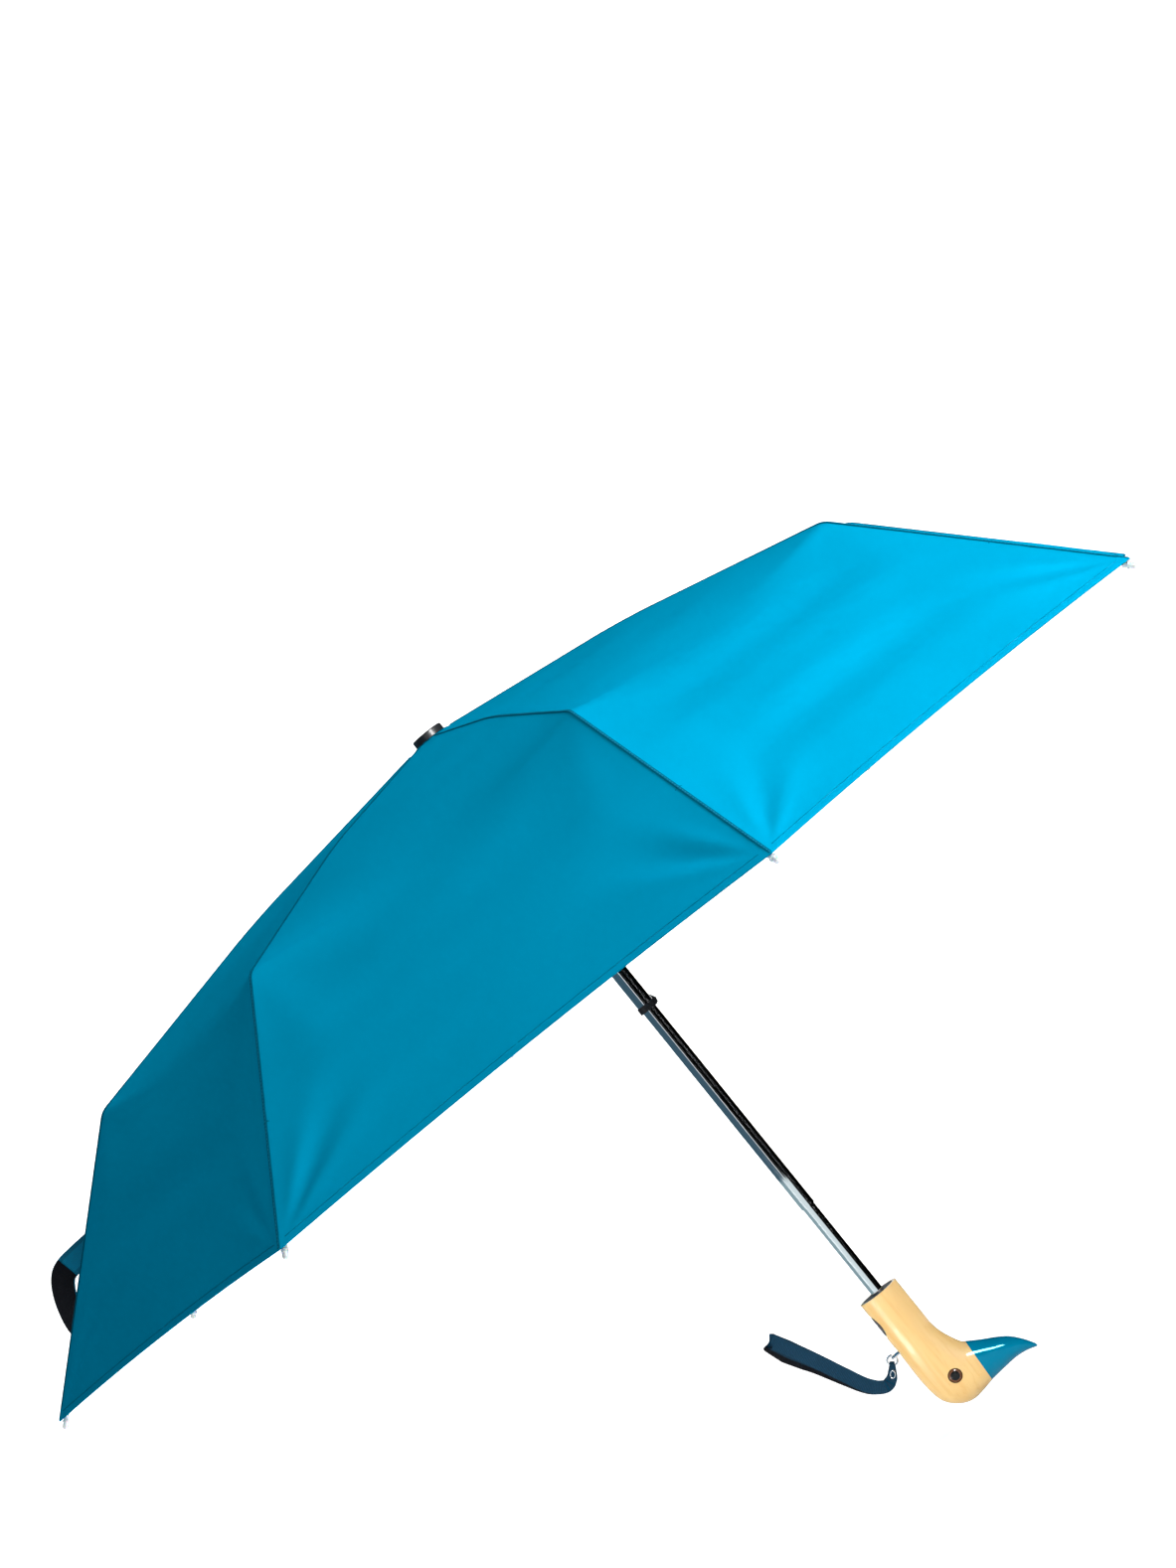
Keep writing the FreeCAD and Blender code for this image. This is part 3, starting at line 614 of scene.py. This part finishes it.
def eased(distance):
    """The rib's line averaged over a wide span: the middle of a panel cuts the rib's corners smoothly."""
    span = np.minimum(0.11, np.minimum(distance, HEM_AT - distance))
    shares = np.linspace(-1.0, 1.0, 17)
    weights = 1.0 - 0.75 * shares ** 2
    total = sum(w * along_rib(distance + s * span) for s, w in zip(shares, weights))
    return total / weights.sum()


def cloth_point(rib, side, distance, share):
    """Point of the cloth. share runs from 0 over the rib to 1 in the middle of the panel on that side."""
    section = along_rib(distance)
    half_width = section[..., 0] * math.sin(HALF_STEP)
    bowl = 1.0 - (1.0 - share) ** 2
    flat = np.clip((distance - CROWN_AT) / 0.05, 0, 1)
    section = section + (eased(distance) - section) * (bowl * flat)[..., None]
    radius, height = section[..., 0], section[..., 1]
    middle = rib_place(rib) + side * HALF_STEP
    out, chord = rib_direction(middle), side * sideways(middle)
    across = (share - 1.0) * half_width

    # the hem is pulled up a little between the tips
    slope = math.atan2(PROFILE[4][1] - PROFILE[3][1], PROFILE[4][0] - PROFILE[3][0])
    down = np.clip((distance - SHOULDER_AT) / (HEM_AT - SHOULDER_AT), 0, 1)
    hem = 0.004 * bowl * down ** 2.2
    reach = radius * math.cos(HALF_STEP) - hem * math.cos(slope)
    point = out * reach[..., None] + chord * across[..., None]
    point[..., 2] = height - hem * math.sin(slope)
    lift = wrinkles(rib, side, distance, share, half_width) * flat
    return point + rough_normal(distance, out) * lift[..., None]


def rough_normal(distance, out):
    """Upward normal of the panel where it is nearly flat, for moving points off it."""
    slopes = [math.atan2(b[1] - a[1], b[0] - a[0]) for a, b in zip(PROFILE, PROFILE[1:])]
    centres = [(a + b) / 2 for a, b in zip(STATIONS, STATIONS[1:])]
    angle = np.interp(distance, centres, slopes)
    return np.stack([-np.sin(angle) * out[0], -np.sin(angle) * out[1], np.cos(angle)], -1)


def bell(value, centre, width):
    """Bell curve: 1 at its centre, falling off over its width."""
    return np.exp(-((value - centre) / width) ** 2)


def wrinkles(rib, side, distance, share, half_width):
    """Height of the folds from the hem corners and the shoulders, and of the panel's soft bands."""
    panel = (rib if side > 0 else rib - 1) % RIBS
    q = side * (share - 1.0)
    middle = (1.0 - np.clip(q * q, 0, 1)) ** 1.5
    below = distance - SHOULDER_AT
    phase = 2.1 * panel + 0.6
    sag = 0.030 * q * q + 0.012 * math.sin(phase) * q
    circle = 2 * math.pi
    bands = 0.0014 * np.sin(circle * (below + sag) / 0.082 + phase) * bell(below, 0.07, 0.09)
    fine = 0.0006 * np.sin(circle * (below - 0.6 * sag) / 0.047 - phase) * bell(below, 0.10, 0.07)
    inner = 0.0009 * np.sin(circle * (distance + sag) / 0.105 + 2 * phase) * bell(distance, 0.20, 0.10)

    from_rib = share * half_width
    to_tip = HEM_AT - distance
    reach = np.hypot(from_rib, to_tip)
    angle = np.arctan2(from_rib, to_tip + 1e-6)
    sway = 0.06 * math.sin(3.0 * phase + side)
    folds = bell(angle, 0.34 + sway, 0.16) - 1.1 * bell(angle, 0.66 + sway, 0.18)
    folds = folds + 0.9 * bell(angle, 1.00 - sway, 0.18)
    near = np.clip(reach / 0.030, 0, 1) ** 1.5
    pull = 0.0015 * folds * bell(reach, 0.050, 0.042) * near
    spread = np.hypot(from_rib, below)
    turn = np.arctan2(from_rib, below)
    rays = bell(turn, 0.50 - sway, 0.20) - bell(turn, 0.95 + sway, 0.22)
    fan = 0.0009 * rays * bell(spread, 0.080, 0.050)
    lean = share ** 2 / (share ** 2 + 0.006) * np.clip(1.0 - share ** 2, 0, 1) ** 2
    return (bands + fine + inner) * middle + (pull + fan) * lean


def grid_normals(rib, side, distance, share):
    """Normals from the surface itself, so that pieces that meet shade as one."""
    step_d, step_s = 0.0008, 0.006
    d0, d1 = np.clip(distance - step_d, 0, HEM_AT), np.clip(distance + step_d, 0, HEM_AT)
    s0, s1 = np.maximum(share - step_s, 0), share + step_s
    along = cloth_point(rib, side, d1, share) - cloth_point(rib, side, d0, share)
    across = cloth_point(rib, side, distance, s1) - cloth_point(rib, side, distance, s0)
    return unit(np.cross(along, across) * side)


# name, the member that carries it and the number of rows of each length of cloth
SECTIONS = (("top", "top_arm", 26), ("middle", "middle_arm", 34), ("tail", "tail_arm", 72))
TAIL = 2
SIDES = ((-1, "left"), (1, "right"))


def section_span(index):
    """Distances from the crown at which a length of cloth starts and ends."""
    limits = [0.0, KNUCKLE_AT, SHOULDER_AT, HEM_AT]
    return limits[index], limits[index + 1]


def furl_axis(rib, side, index):
    """Direction square to the rib that a closed half panel gathers along, and a point of the rib."""
    start, end = PROFILE[index + 1], PROFILE[index + 2]
    azimuth = rib_place(rib)
    radial = rib_direction(azimuth)
    along = unit(radial * (end[0] - start[0]) + UP * (end[1] - start[1]))
    chord = side * sideways(azimuth + side * HALF_STEP)
    anchor = radial * start[0] + UP * start[1]
    return unit(chord - (chord @ along) * along), anchor


def canopy():
    """Half panels in three lengths. Each rides on its rib's member."""
    first = None
    for rib in range(RIBS):
        for side, side_name in SIDES:
            for index, (section, body, rows) in enumerate(SECTIONS):
                start, end = section_span(index)
                lengthwise = np.linspace(0, 1, rows)
                if index == TAIL:
                    # the last rows make the step of the hem
                    lengthwise = np.append(lengthwise[:-1] * 0.966, [0.967, 0.970, 1.0])
                crosswise = np.linspace(0, 1, 50) ** 1.2
                distance, share = np.meshgrid(start + (end - start) * lengthwise, crosswise, indexing="ij")
                points = cloth_point(rib, side, distance, share)
                normals = grid_normals(rib, side, distance, share)
                radius = along_rib(distance)[..., 0]
                uv = np.stack([share * radius * math.sin(HALF_STEP), distance], -1)
                thickness = np.full(distance.shape, CLOTH_THICKNESS)
                if index == TAIL:
                    hem_rows = distance > HEM_AT - HEM
                    points = points + normals * np.where(hem_rows, CLOTH_THICKNESS, 0.0)[..., None]
                    thickness = np.where(hem_rows, HEM_THICKNESS, thickness)
                name = f"canopy_{section}_{side_name}_{rib + 1}"
                piece = thick_sheet(name, points, normals, thickness, uv, cloth_top, shaded_cloth_under)
                attach(piece, f"{body}_{rib + 1}", furl_axis(rib, side, index))
                first = first or piece
    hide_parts("canopy")


def canopy_seams():
    """The felled seam over each rib: a narrow folded ridge with its stitches."""
    offsets = np.linspace(-1, 1, 7)
    rise = 0.0004 * (1 - offsets ** 4) + 0.00012
    for rib in range(RIBS):
        across = sideways(rib_place(rib))
        for index, (section, body, rows) in enumerate(SECTIONS):
            start, end = section_span(index)
            start = max(start, SEAM_FROM)
            distance = np.linspace(start, end - (0.001 if index == TAIL else 0.0), rows * 2)
            centre = cloth_point(rib, 1, distance, np.zeros_like(distance))
            left = grid_normals(rib, -1, distance, np.full_like(distance, 0.02))
            right = grid_normals(rib, 1, distance, np.full_like(distance, 0.02))
            up = unit(left + right)
            aside = across * (offsets * SEAM_HALF_WIDTH)[None, :, None]
            points = centre[:, None] + aside + up[:, None] * rise[None, :, None]
            normals = unit(across * (offsets ** 3 * 0.8)[None, :, None] + up[:, None])
            uv = np.stack(np.meshgrid(distance, offsets * SEAM_HALF_WIDTH, indexing="ij")[::-1], -1)
            name = f"seam_{section}_{rib + 1}"
            piece = thick_sheet(name, points, normals, SEAM_THICKNESS, uv, shaded_seam_cloth, shaded_cloth_under)
            attach(piece, f"{body}_{rib + 1}")


def hem_stitching():
    """Row of thread along each half panel's hem."""
    share = np.linspace(0.03, 0.995, 90)
    distance = np.full_like(share, HEM_AT - HEM_STITCHES_AT)
    for rib in range(RIBS):
        for side, side_name in SIDES:
            points = cloth_point(rib, side, distance, share)
            points = points + grid_normals(rib, side, distance, share) * 0.00045
            piece = tube_along(f"hem_thread_{side_name}_{rib + 1}", points, THREAD_RADIUS, thread)
            attach(piece, f"tail_arm_{rib + 1}", furl_axis(rib, side, TAIL))


def crown_rosette():
    """Scalloped disc of canopy cloth under the cap."""
    hole, rim, scallop, scallops = 0.0075, 0.0142, 0.0008, 16
    top = PROFILE[0][1]
    angles = np.linspace(0, 2 * math.pi, 145)[:-1]
    edge = rim + scallop * np.cos(scallops * angles)
    ring_count = 7
    vertices, faces = [], []
    for level in (0.0012, 0.0004):
        for share in np.arange(ring_count) / (ring_count - 1):
            radius = hole + (edge - hole) * share
            height = top + level * (1 - 0.5 * share) - 0.0006 * share ** 2
            for angle, r in zip(angles, radius):
                vertices.append((r * math.cos(angle), r * math.sin(angle), height))
    count = len(angles)
    half = ring_count * count
    for i in range(ring_count - 1):
        for k in range(count):
            j = (k + 1) % count
            a, b, c, d = i * count + k, i * count + j, (i + 1) * count + j, (i + 1) * count + k
            faces.append((a, d, c, b))
            faces.append((half + a, half + b, half + c, half + d))
    last = (ring_count - 1) * count
    for k in range(count):
        j = (k + 1) % count
        faces.append((k, j, half + j, half + k))
        faces.append((last + j, last + k, half + last + k, half + last + j))
    uv = [(v[0], v[1]) for v in vertices]
    # the rosette takes the seam cloth's darkened colour, painted shade under the cap
    piece = make_object("crown_rosette", vertices, faces, [shaded_seam_cloth], uv=uv)
    attach(piece, "outer_shaft")


def rib_ties():
    """Thread loops that hold the cloth to each rib, about halfway along its members."""
    half_width, half_heights = 0.0029, (0.0031, 0.0029, 0.0029)
    for rib in range(RIBS):
        across = sideways(rib_place(rib))
        for index, (section, body, _) in enumerate(SECTIONS):
            start, end = section_span(index)
            distance = np.array([start + (end - start) * 0.55])
            centre = cloth_point(rib, 1, distance, np.zeros(1))[0] - UP * half_heights[index]
            path = []
            for angle in np.linspace(0, 2 * math.pi, 25)[:-1]:
                turned = across * half_width * math.cos(angle) + UP * half_heights[index] * math.sin(angle)
                path.append(centre + turned)
            piece = tube_along(f"rib_tie_{section}_{rib + 1}", path, 0.0003, thread, closed=True)
            attach(piece, f"{body}_{rib + 1}")


# ---- straps ----
def smooth_path(points, count):
    """Evenly spaced points on a smooth curve through the given ones, and their places along it."""
    points = [np.asarray(p, float) for p in points]
    padded = [2 * points[0] - points[1]] + points + [2 * points[-1] - points[-2]]
    fine = []
    for i in range(1, len(padded) - 2):
        a, b, c, d = padded[i - 1:i + 3]
        for t in np.linspace(0, 1, 40, endpoint=False):
            cubic = 2 * a - 5 * b + 4 * c - d + t * (3 * (b - c) + d - a)
            fine.append(b + 0.5 * t * (c - a + t * cubic))
    fine.append(points[-1])
    fine = np.array(fine)
    length = np.concatenate([[0], np.cumsum(np.linalg.norm(np.diff(fine, axis=0), axis=1))])
    places = np.linspace(0, length[-1], count)
    return np.stack([np.interp(places, length, fine[:, k]) for k in range(3)], -1), places


def band(name, path, places, width_direction, half_width, thickness, top_material, under_material):
    """Flat tape along a path, with rounded selvedges."""
    tangents = unit(np.gradient(path, axis=0))
    width = np.broadcast_to(np.asarray(width_direction, float), path.shape)
    width = unit(width - (width * tangents).sum(-1, keepdims=True) * tangents)
    up = np.cross(tangents, width)
    columns = np.linspace(-1, 1, 13)
    columns = np.sign(columns) * np.abs(columns) ** 0.8
    round_off = thickness * 0.38 * columns ** 8
    half_width = np.broadcast_to(np.asarray(half_width, float), places.shape)
    across = half_width[:, None] * columns[None, :]
    points = path[:, None] + width[:, None] * across[..., None]
    points = points + up[:, None] * (thickness / 2 - round_off)[None, :, None]
    normals = np.broadcast_to(up[:, None], points.shape)
    uv = np.stack([across, np.broadcast_to(places[:, None], across.shape)], -1)
    depth = np.broadcast_to((thickness - 2 * round_off)[None, :], points.shape[:2])
    return thick_sheet(name, points, normals, depth, uv, top_material, under_material)


def wrist_strap():
    """Tape loop: it leaves the ring narrow, widens, runs to its far fold and comes back behind itself."""
    pivot = np.array(joints["strap_swing"]["pos_m"])
    # middle line from the swing's pivot in the XZ plane, half width, and how far the back layer hangs
    line = ((-0.0030, -0.0030, 0.0018, 0.0), (-0.0058, -0.0066, 0.0042, 0.0),
            (-0.0100, -0.0108, 0.0050, 0.0010), (-0.0165, -0.0118, 0.0050, 0.0022),
            (-0.0250, -0.0040, 0.0051, 0.0030), (-0.0330, 0.0120, 0.0052, 0.0036),
            (-0.0420, 0.0310, 0.0055, 0.0044), (-0.0510, 0.0480, 0.0060, 0.0046),
            (-0.0575, 0.0610, 0.0054, 0.0034))
    rows, _ = smooth_path([(x, z, 0.0) for x, z, _, _ in line], WRIST_ROWS)
    spread, knots = np.linspace(0, 1, WRIST_ROWS), np.linspace(0, 1, len(line))
    widths = np.interp(spread, knots, [p[2] for p in line])
    sags = np.interp(spread, knots, [p[3] for p in line])
    tangent = unit(np.gradient(rows[:, :2], axis=0))
    zero = np.zeros(WRIST_ROWS)
    side = np.stack([-tangent[:, 1], zero, tangent[:, 0]], -1)
    ahead = np.stack([tangent[:, 0], zero, tangent[:, 1]], -1)
    middle = np.stack([rows[:, 0], zero, rows[:, 1]], -1) + pivot
    puff = 0.0013 + 0.0016 * np.sin(np.linspace(0, math.pi, WRIST_ROWS)) ** 2
    ripple = 0.0003 * np.sin(np.linspace(0, 40, WRIST_ROWS))
    depth = np.stack([zero, puff + ripple, zero], -1)
    front = middle - depth + side * 0.0002
    back = middle + depth + side * sags[:, None]
    fold, near = [], []
    bend_rows = 9
    for angle in np.linspace(-math.pi / 2, math.pi / 2, bend_rows + 2)[1:-1]:
        swing = np.array([0.0, math.sin(angle), 0.0])
        turned = side[-1] * sags[-1] * (0.5 + 0.5 * math.sin(angle))
        fold.append(middle[-1] + swing * puff[-1] + ahead[-1] * puff[-1] * math.cos(angle) + turned)
        near.append(middle[0] + swing * puff[0] - ahead[0] * puff[0] * math.cos(angle))
    path = np.array([*front, *fold, *back[::-1], *near[::-1]])
    width = np.array([*side, *([side[-1]] * bend_rows), *side[::-1], *([side[0]] * bend_rows)])
    half = np.array([*widths, *([widths[-1]] * bend_rows), *widths[::-1], *([widths[0]] * bend_rows)])
    path, width = np.vstack([path, path[:1]]), np.vstack([width, width[:1]])
    half = np.append(half, half[0])
    places = np.concatenate([[0], np.cumsum(np.linalg.norm(np.diff(path, axis=0), axis=1))])
    tape = band("wrist_tape", path, places, width, half, WRIST_TAPE_THICKNESS, strap_cloth, strap_inside_shaded)
    attach(tape, "strap")
    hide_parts("wrist_strap")

    for number, share in enumerate((0.13, 0.16)):
        i = int(share * WRIST_ROWS)
        centre = front[i] - np.array([0.0, 0.0006, 0.0])
        row = [centre + side[i] * widths[i] * k for k in np.linspace(-0.8, 0.8, 14)]
        cord = tube_along(f"wrist_tape_bartack_{number + 1}", row, 0.00035, strap_thread)
        attach(cord, "strap")
    i = int(0.075 * WRIST_ROWS)
    centre = front[i] - np.array([0.0, 0.00075, 0.0])
    eyelet = []
    for angle in np.linspace(0, 2 * math.pi, 41)[:-1]:
        eyelet.append(centre + ahead[i] * 0.0026 * math.cos(angle) + side[i] * 0.0017 * math.sin(angle))
    rim = tube_along("strap_eyelet", eyelet, 0.0005, SLOT_LOOKS["ring_steel"], sides=8, closed=True)
    attach(rim, "strap")


def tie_strap():
    """Closing strap sewn to one panel. Its free end stands off with a quarter twist and shows hook tape."""
    rib, side = 3, 1
    azimuth = rib_place(rib) + side * HALF_STEP
    out, toward = rib_direction(azimuth), sideways(azimuth)
    sewn_at = np.array([SHOULDER_AT + (HEM_AT - SHOULDER_AT) * TIE_SEWN_AT])
    start = cloth_point(rib, side, sewn_at, np.ones(1))[0]
    # outwards, upwards from where it is sewn, and the share of its quarter twist
    line = ((0.0008, 0.0010, 0.0), (0.0105, -0.0070, 0.0), (0.0230, -0.0136, 0.15),
            (0.0390, -0.0155, 0.42), (0.0570, -0.0170, 0.70), (0.0780, -0.0188, 0.88),
            (0.0920, -0.0205, 0.92), (0.0990, -0.0250, 0.92), (0.1050, -0.0345, 0.90),
            (0.1092, -0.0460, 0.86), (0.1112, -0.0560, 0.82), (0.1100, -0.0660, 0.80))
    count = 120
    path, places = smooth_path([start + out * a + UP * b for a, b, _ in line], count)
    knots = np.cumsum([0.0] + [math.dist(p[:2], q[:2]) for p, q in zip(line, line[1:])])
    twist = np.interp(places / places[-1], knots / knots[-1], [p[2] for p in line]) * math.pi / 2
    tangent = unit(np.gradient(path, axis=0))
    inner = np.cross(tangent, toward)
    inner = inner * -np.sign(inner[0] @ UP)
    width = toward * np.cos(twist)[:, None] + inner * np.sin(twist)[:, None]
    tape = band("tie_tape", path, places, width, TIE_HALF_WIDTH, TIE_THICKNESS, tie_cloth, hook_tape)
    last = slice(int(count * 0.64), None)
    hook_path = path[last] + np.cross(tangent, width)[last] * TIE_THICKNESS
    hook = band("tie_hook_tape", hook_path, places[last], width[last], TIE_HALF_WIDTH - 0.0006, TIE_THICKNESS,
                hook_tape, hook_tape)
    for piece in (tape, hook):
        attach(piece, f"tail_arm_{rib + 1}", furl_axis(rib, side, TAIL))
    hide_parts("tie_strap")


# ---- stage ----
def floor():
    """Pale sweep: a floor that curves up into the wall behind."""
    half_size, curve_from, curve_radius = 9.0, 3.0, 2.5
    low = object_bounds()[0].z - 0.012
    rows = []
    for y in np.linspace(-half_size, curve_from, 8):
        rows.append((y, low))
    for angle in np.linspace(0, math.pi / 2, 24)[1:]:
        y = curve_from + curve_radius * math.sin(angle)
        rows.append((y, low + curve_radius * (1 - math.cos(angle))))
    rows.append((curve_from + curve_radius, half_size))
    vertices, faces = [], []
    for y, z in rows:
        vertices += [(-half_size, y, z), (half_size, y, z)]
    for i in range(len(rows) - 1):
        faces.append((2 * i, 2 * i + 1, 2 * i + 3, 2 * i + 2))
    material, nodes, links, shader = new_material("sweep_paper")
    grain = object_noise(nodes, links, 40.0, 4.0)
    tone = mix_colour(nodes, links, grain, (0.90, 0.90, 0.90), (0.93, 0.93, 0.93))
    links.new(tone, shader.inputs["Base Color"])
    set_inputs(shader, Roughness=0.9, Emission_Color=(1.0, 1.0, 1.0))
    # a white that only the camera sees, and no floor for a camera below it
    seen = add(nodes, "ShaderNodeLightPath").outputs["Is Camera Ray"]
    links.new(arithmetic(nodes, links, "MULTIPLY", seen, 0.60), shader.inputs["Emission Strength"])
    below = add(nodes, "ShaderNodeNewGeometry")
    clear = add(nodes, "ShaderNodeBsdfTransparent")
    either = add(nodes, "ShaderNodeMixShader")
    links.new(below.outputs["Backfacing"], either.inputs[0])
    links.new(shader.outputs[0], either.inputs[1])
    links.new(clear.outputs[0], either.inputs[2])
    links.new(either.outputs[0], nodes["Material Output"].inputs["Surface"])
    piece = make_object("sweep", vertices, faces, [material])
    piece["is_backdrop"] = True


def area_light(name, place, target, size, power, lights_surfaces=True):
    """Rectangular lamp that faces a target. Without lights_surfaces it only shows in reflections."""
    data = bpy.data.lights.new(name, "AREA")
    data.shape = "RECTANGLE"
    data.size, data.size_y = size
    data.energy = power
    lamp = bpy.data.objects.new(name, data)
    lamp.location = place
    lamp.rotation_euler = (Vector(target) - Vector(place)).to_track_quat("-Z", "Y").to_euler()
    lamp.visible_diffuse = lights_surfaces
    bpy.context.scene.collection.objects.link(lamp)
    lamp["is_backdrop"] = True


def reflector(name, start, end, radius, height, shade):
    """Upright curved glowing card that only shows in reflections, from one bearing to another.

    Bearings are in degrees from the camera's side, to its right. height is a pair.
    """
    material, _, _, shader = new_material(name + "_card")
    set_inputs(shader, Roughness=1.0, Specular_IOR_Level=0.0, Base_Color=(0.0, 0.0, 0.0),
               Emission_Color=shade, Emission_Strength=1.0)
    material.cycles.emission_sampling = "NONE"
    steps = 24
    vertices, faces = [], []
    for turn in np.radians(np.linspace(start, end, steps + 1)):
        x, y = radius * math.sin(turn), -radius * math.cos(turn)
        vertices += [(x, y, height[0]), (x, y, height[1])]
    for i in range(steps):
        faces.append((2 * i, 2 * i + 1, 2 * i + 3, 2 * i + 2))
    piece = make_object(name, vertices, faces, [material])
    piece.visible_camera = False
    piece.visible_shadow = False
    piece.visible_diffuse = False
    piece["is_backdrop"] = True


def lights():
    """Lamps, the cards that the chrome reflects, and a pale sky."""
    middle = (0.0, 0.0, 0.35)
    handle = (0.0, 0.0, -0.04)
    area_light("key_right", (1.8, -1.18, 0.62), middle, (1.1, 1.6), 62)
    area_light("front_soft", (0.22, -3.2, 0.6), middle, (0.4, 1.8), 13)
    area_light("top_soft", (0.4, 0.4, 2.8), middle, (2.4, 1.6), 5)
    area_light("back_wash", (0.0, 2.4, 3.4), (0.0, 5.0, 1.0), (4.0, 2.0), 160)
    area_light("handle_fill", (-0.50, -0.36, -0.02), handle, (0.3, 0.16), 4.6)
    area_light("handle_window", (0.61, -0.87, 0.70), handle, (0.34, 0.22), 18, lights_surfaces=False)
    # a far ring of tall cards, and a near, low ring round the handle and the lowest tube
    far, tall = 1.5, (-1.0, 1.3)
    near, short = 0.55, (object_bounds()[0].z, 0.079)
    reflector("card_right", -14, 178, far, tall, (0.0, 0.0, 0.0))
    reflector("card_line", -19, -14, far, tall, (1.5, 1.6, 1.6))
    reflector("card_left", -178, -19, far, tall, (0.05, 0.105, 0.147))
    reflector("card_low_right", 24, 178, near, short, (0.0, 0.0, 0.0))
    reflector("card_low_front", -60, 24, near, short, (0.75, 0.85, 0.86))
    reflector("card_low_left", -178, -60, near, short, (0.28, 0.40, 0.43))
    world = bpy.data.worlds.new("studio")
    bpy.context.scene.world = world
    world.use_nodes = True
    nodes, links = world.node_tree.nodes, world.node_tree.links
    sky = nodes["Background"]
    sky.inputs[0].default_value = (0.93, 0.97, 1.0, 1.0)
    # brighter for the camera than for the surfaces
    seen = add(nodes, "ShaderNodeLightPath").outputs["Is Camera Ray"]
    links.new(arithmetic(nodes, links, "MULTIPLY_ADD", seen, 0.66, 0.28), sky.inputs[1])
    bpy.context.scene.view_settings.view_transform = "Standard"


def camera():
    """Low and a long way off, held at a slant so that the shaft leans."""
    place = Vector((0.0651, -2.7327, 0.3313))
    target = Vector((0.0651, -0.0611, 0.4162))
    slant = math.radians(-38.98)
    forward = (target - place).normalized()
    level = forward.cross(Vector(UP)).normalized()
    above = level.cross(forward)
    right = math.cos(slant) * level + math.sin(slant) * above
    up = math.cos(slant) * above - math.sin(slant) * level
    data = bpy.data.cameras.new("camera")
    data.sensor_fit = "AUTO"
    data.sensor_width = 36.0
    data.lens = 90.6
    shot = bpy.data.objects.new("camera", data)
    turned = Matrix((right, up, -forward)).transposed().to_4x4()
    shot.matrix_world = Matrix.Translation(place) @ turned
    bpy.context.scene.collection.objects.link(shot)
    bpy.context.scene.camera = shot


dress_cad_nodes()
canopy()
canopy_seams()
hem_stitching()
crown_rosette()
rib_ties()
wrist_strap()
tie_strap()
floor()
lights()
camera()
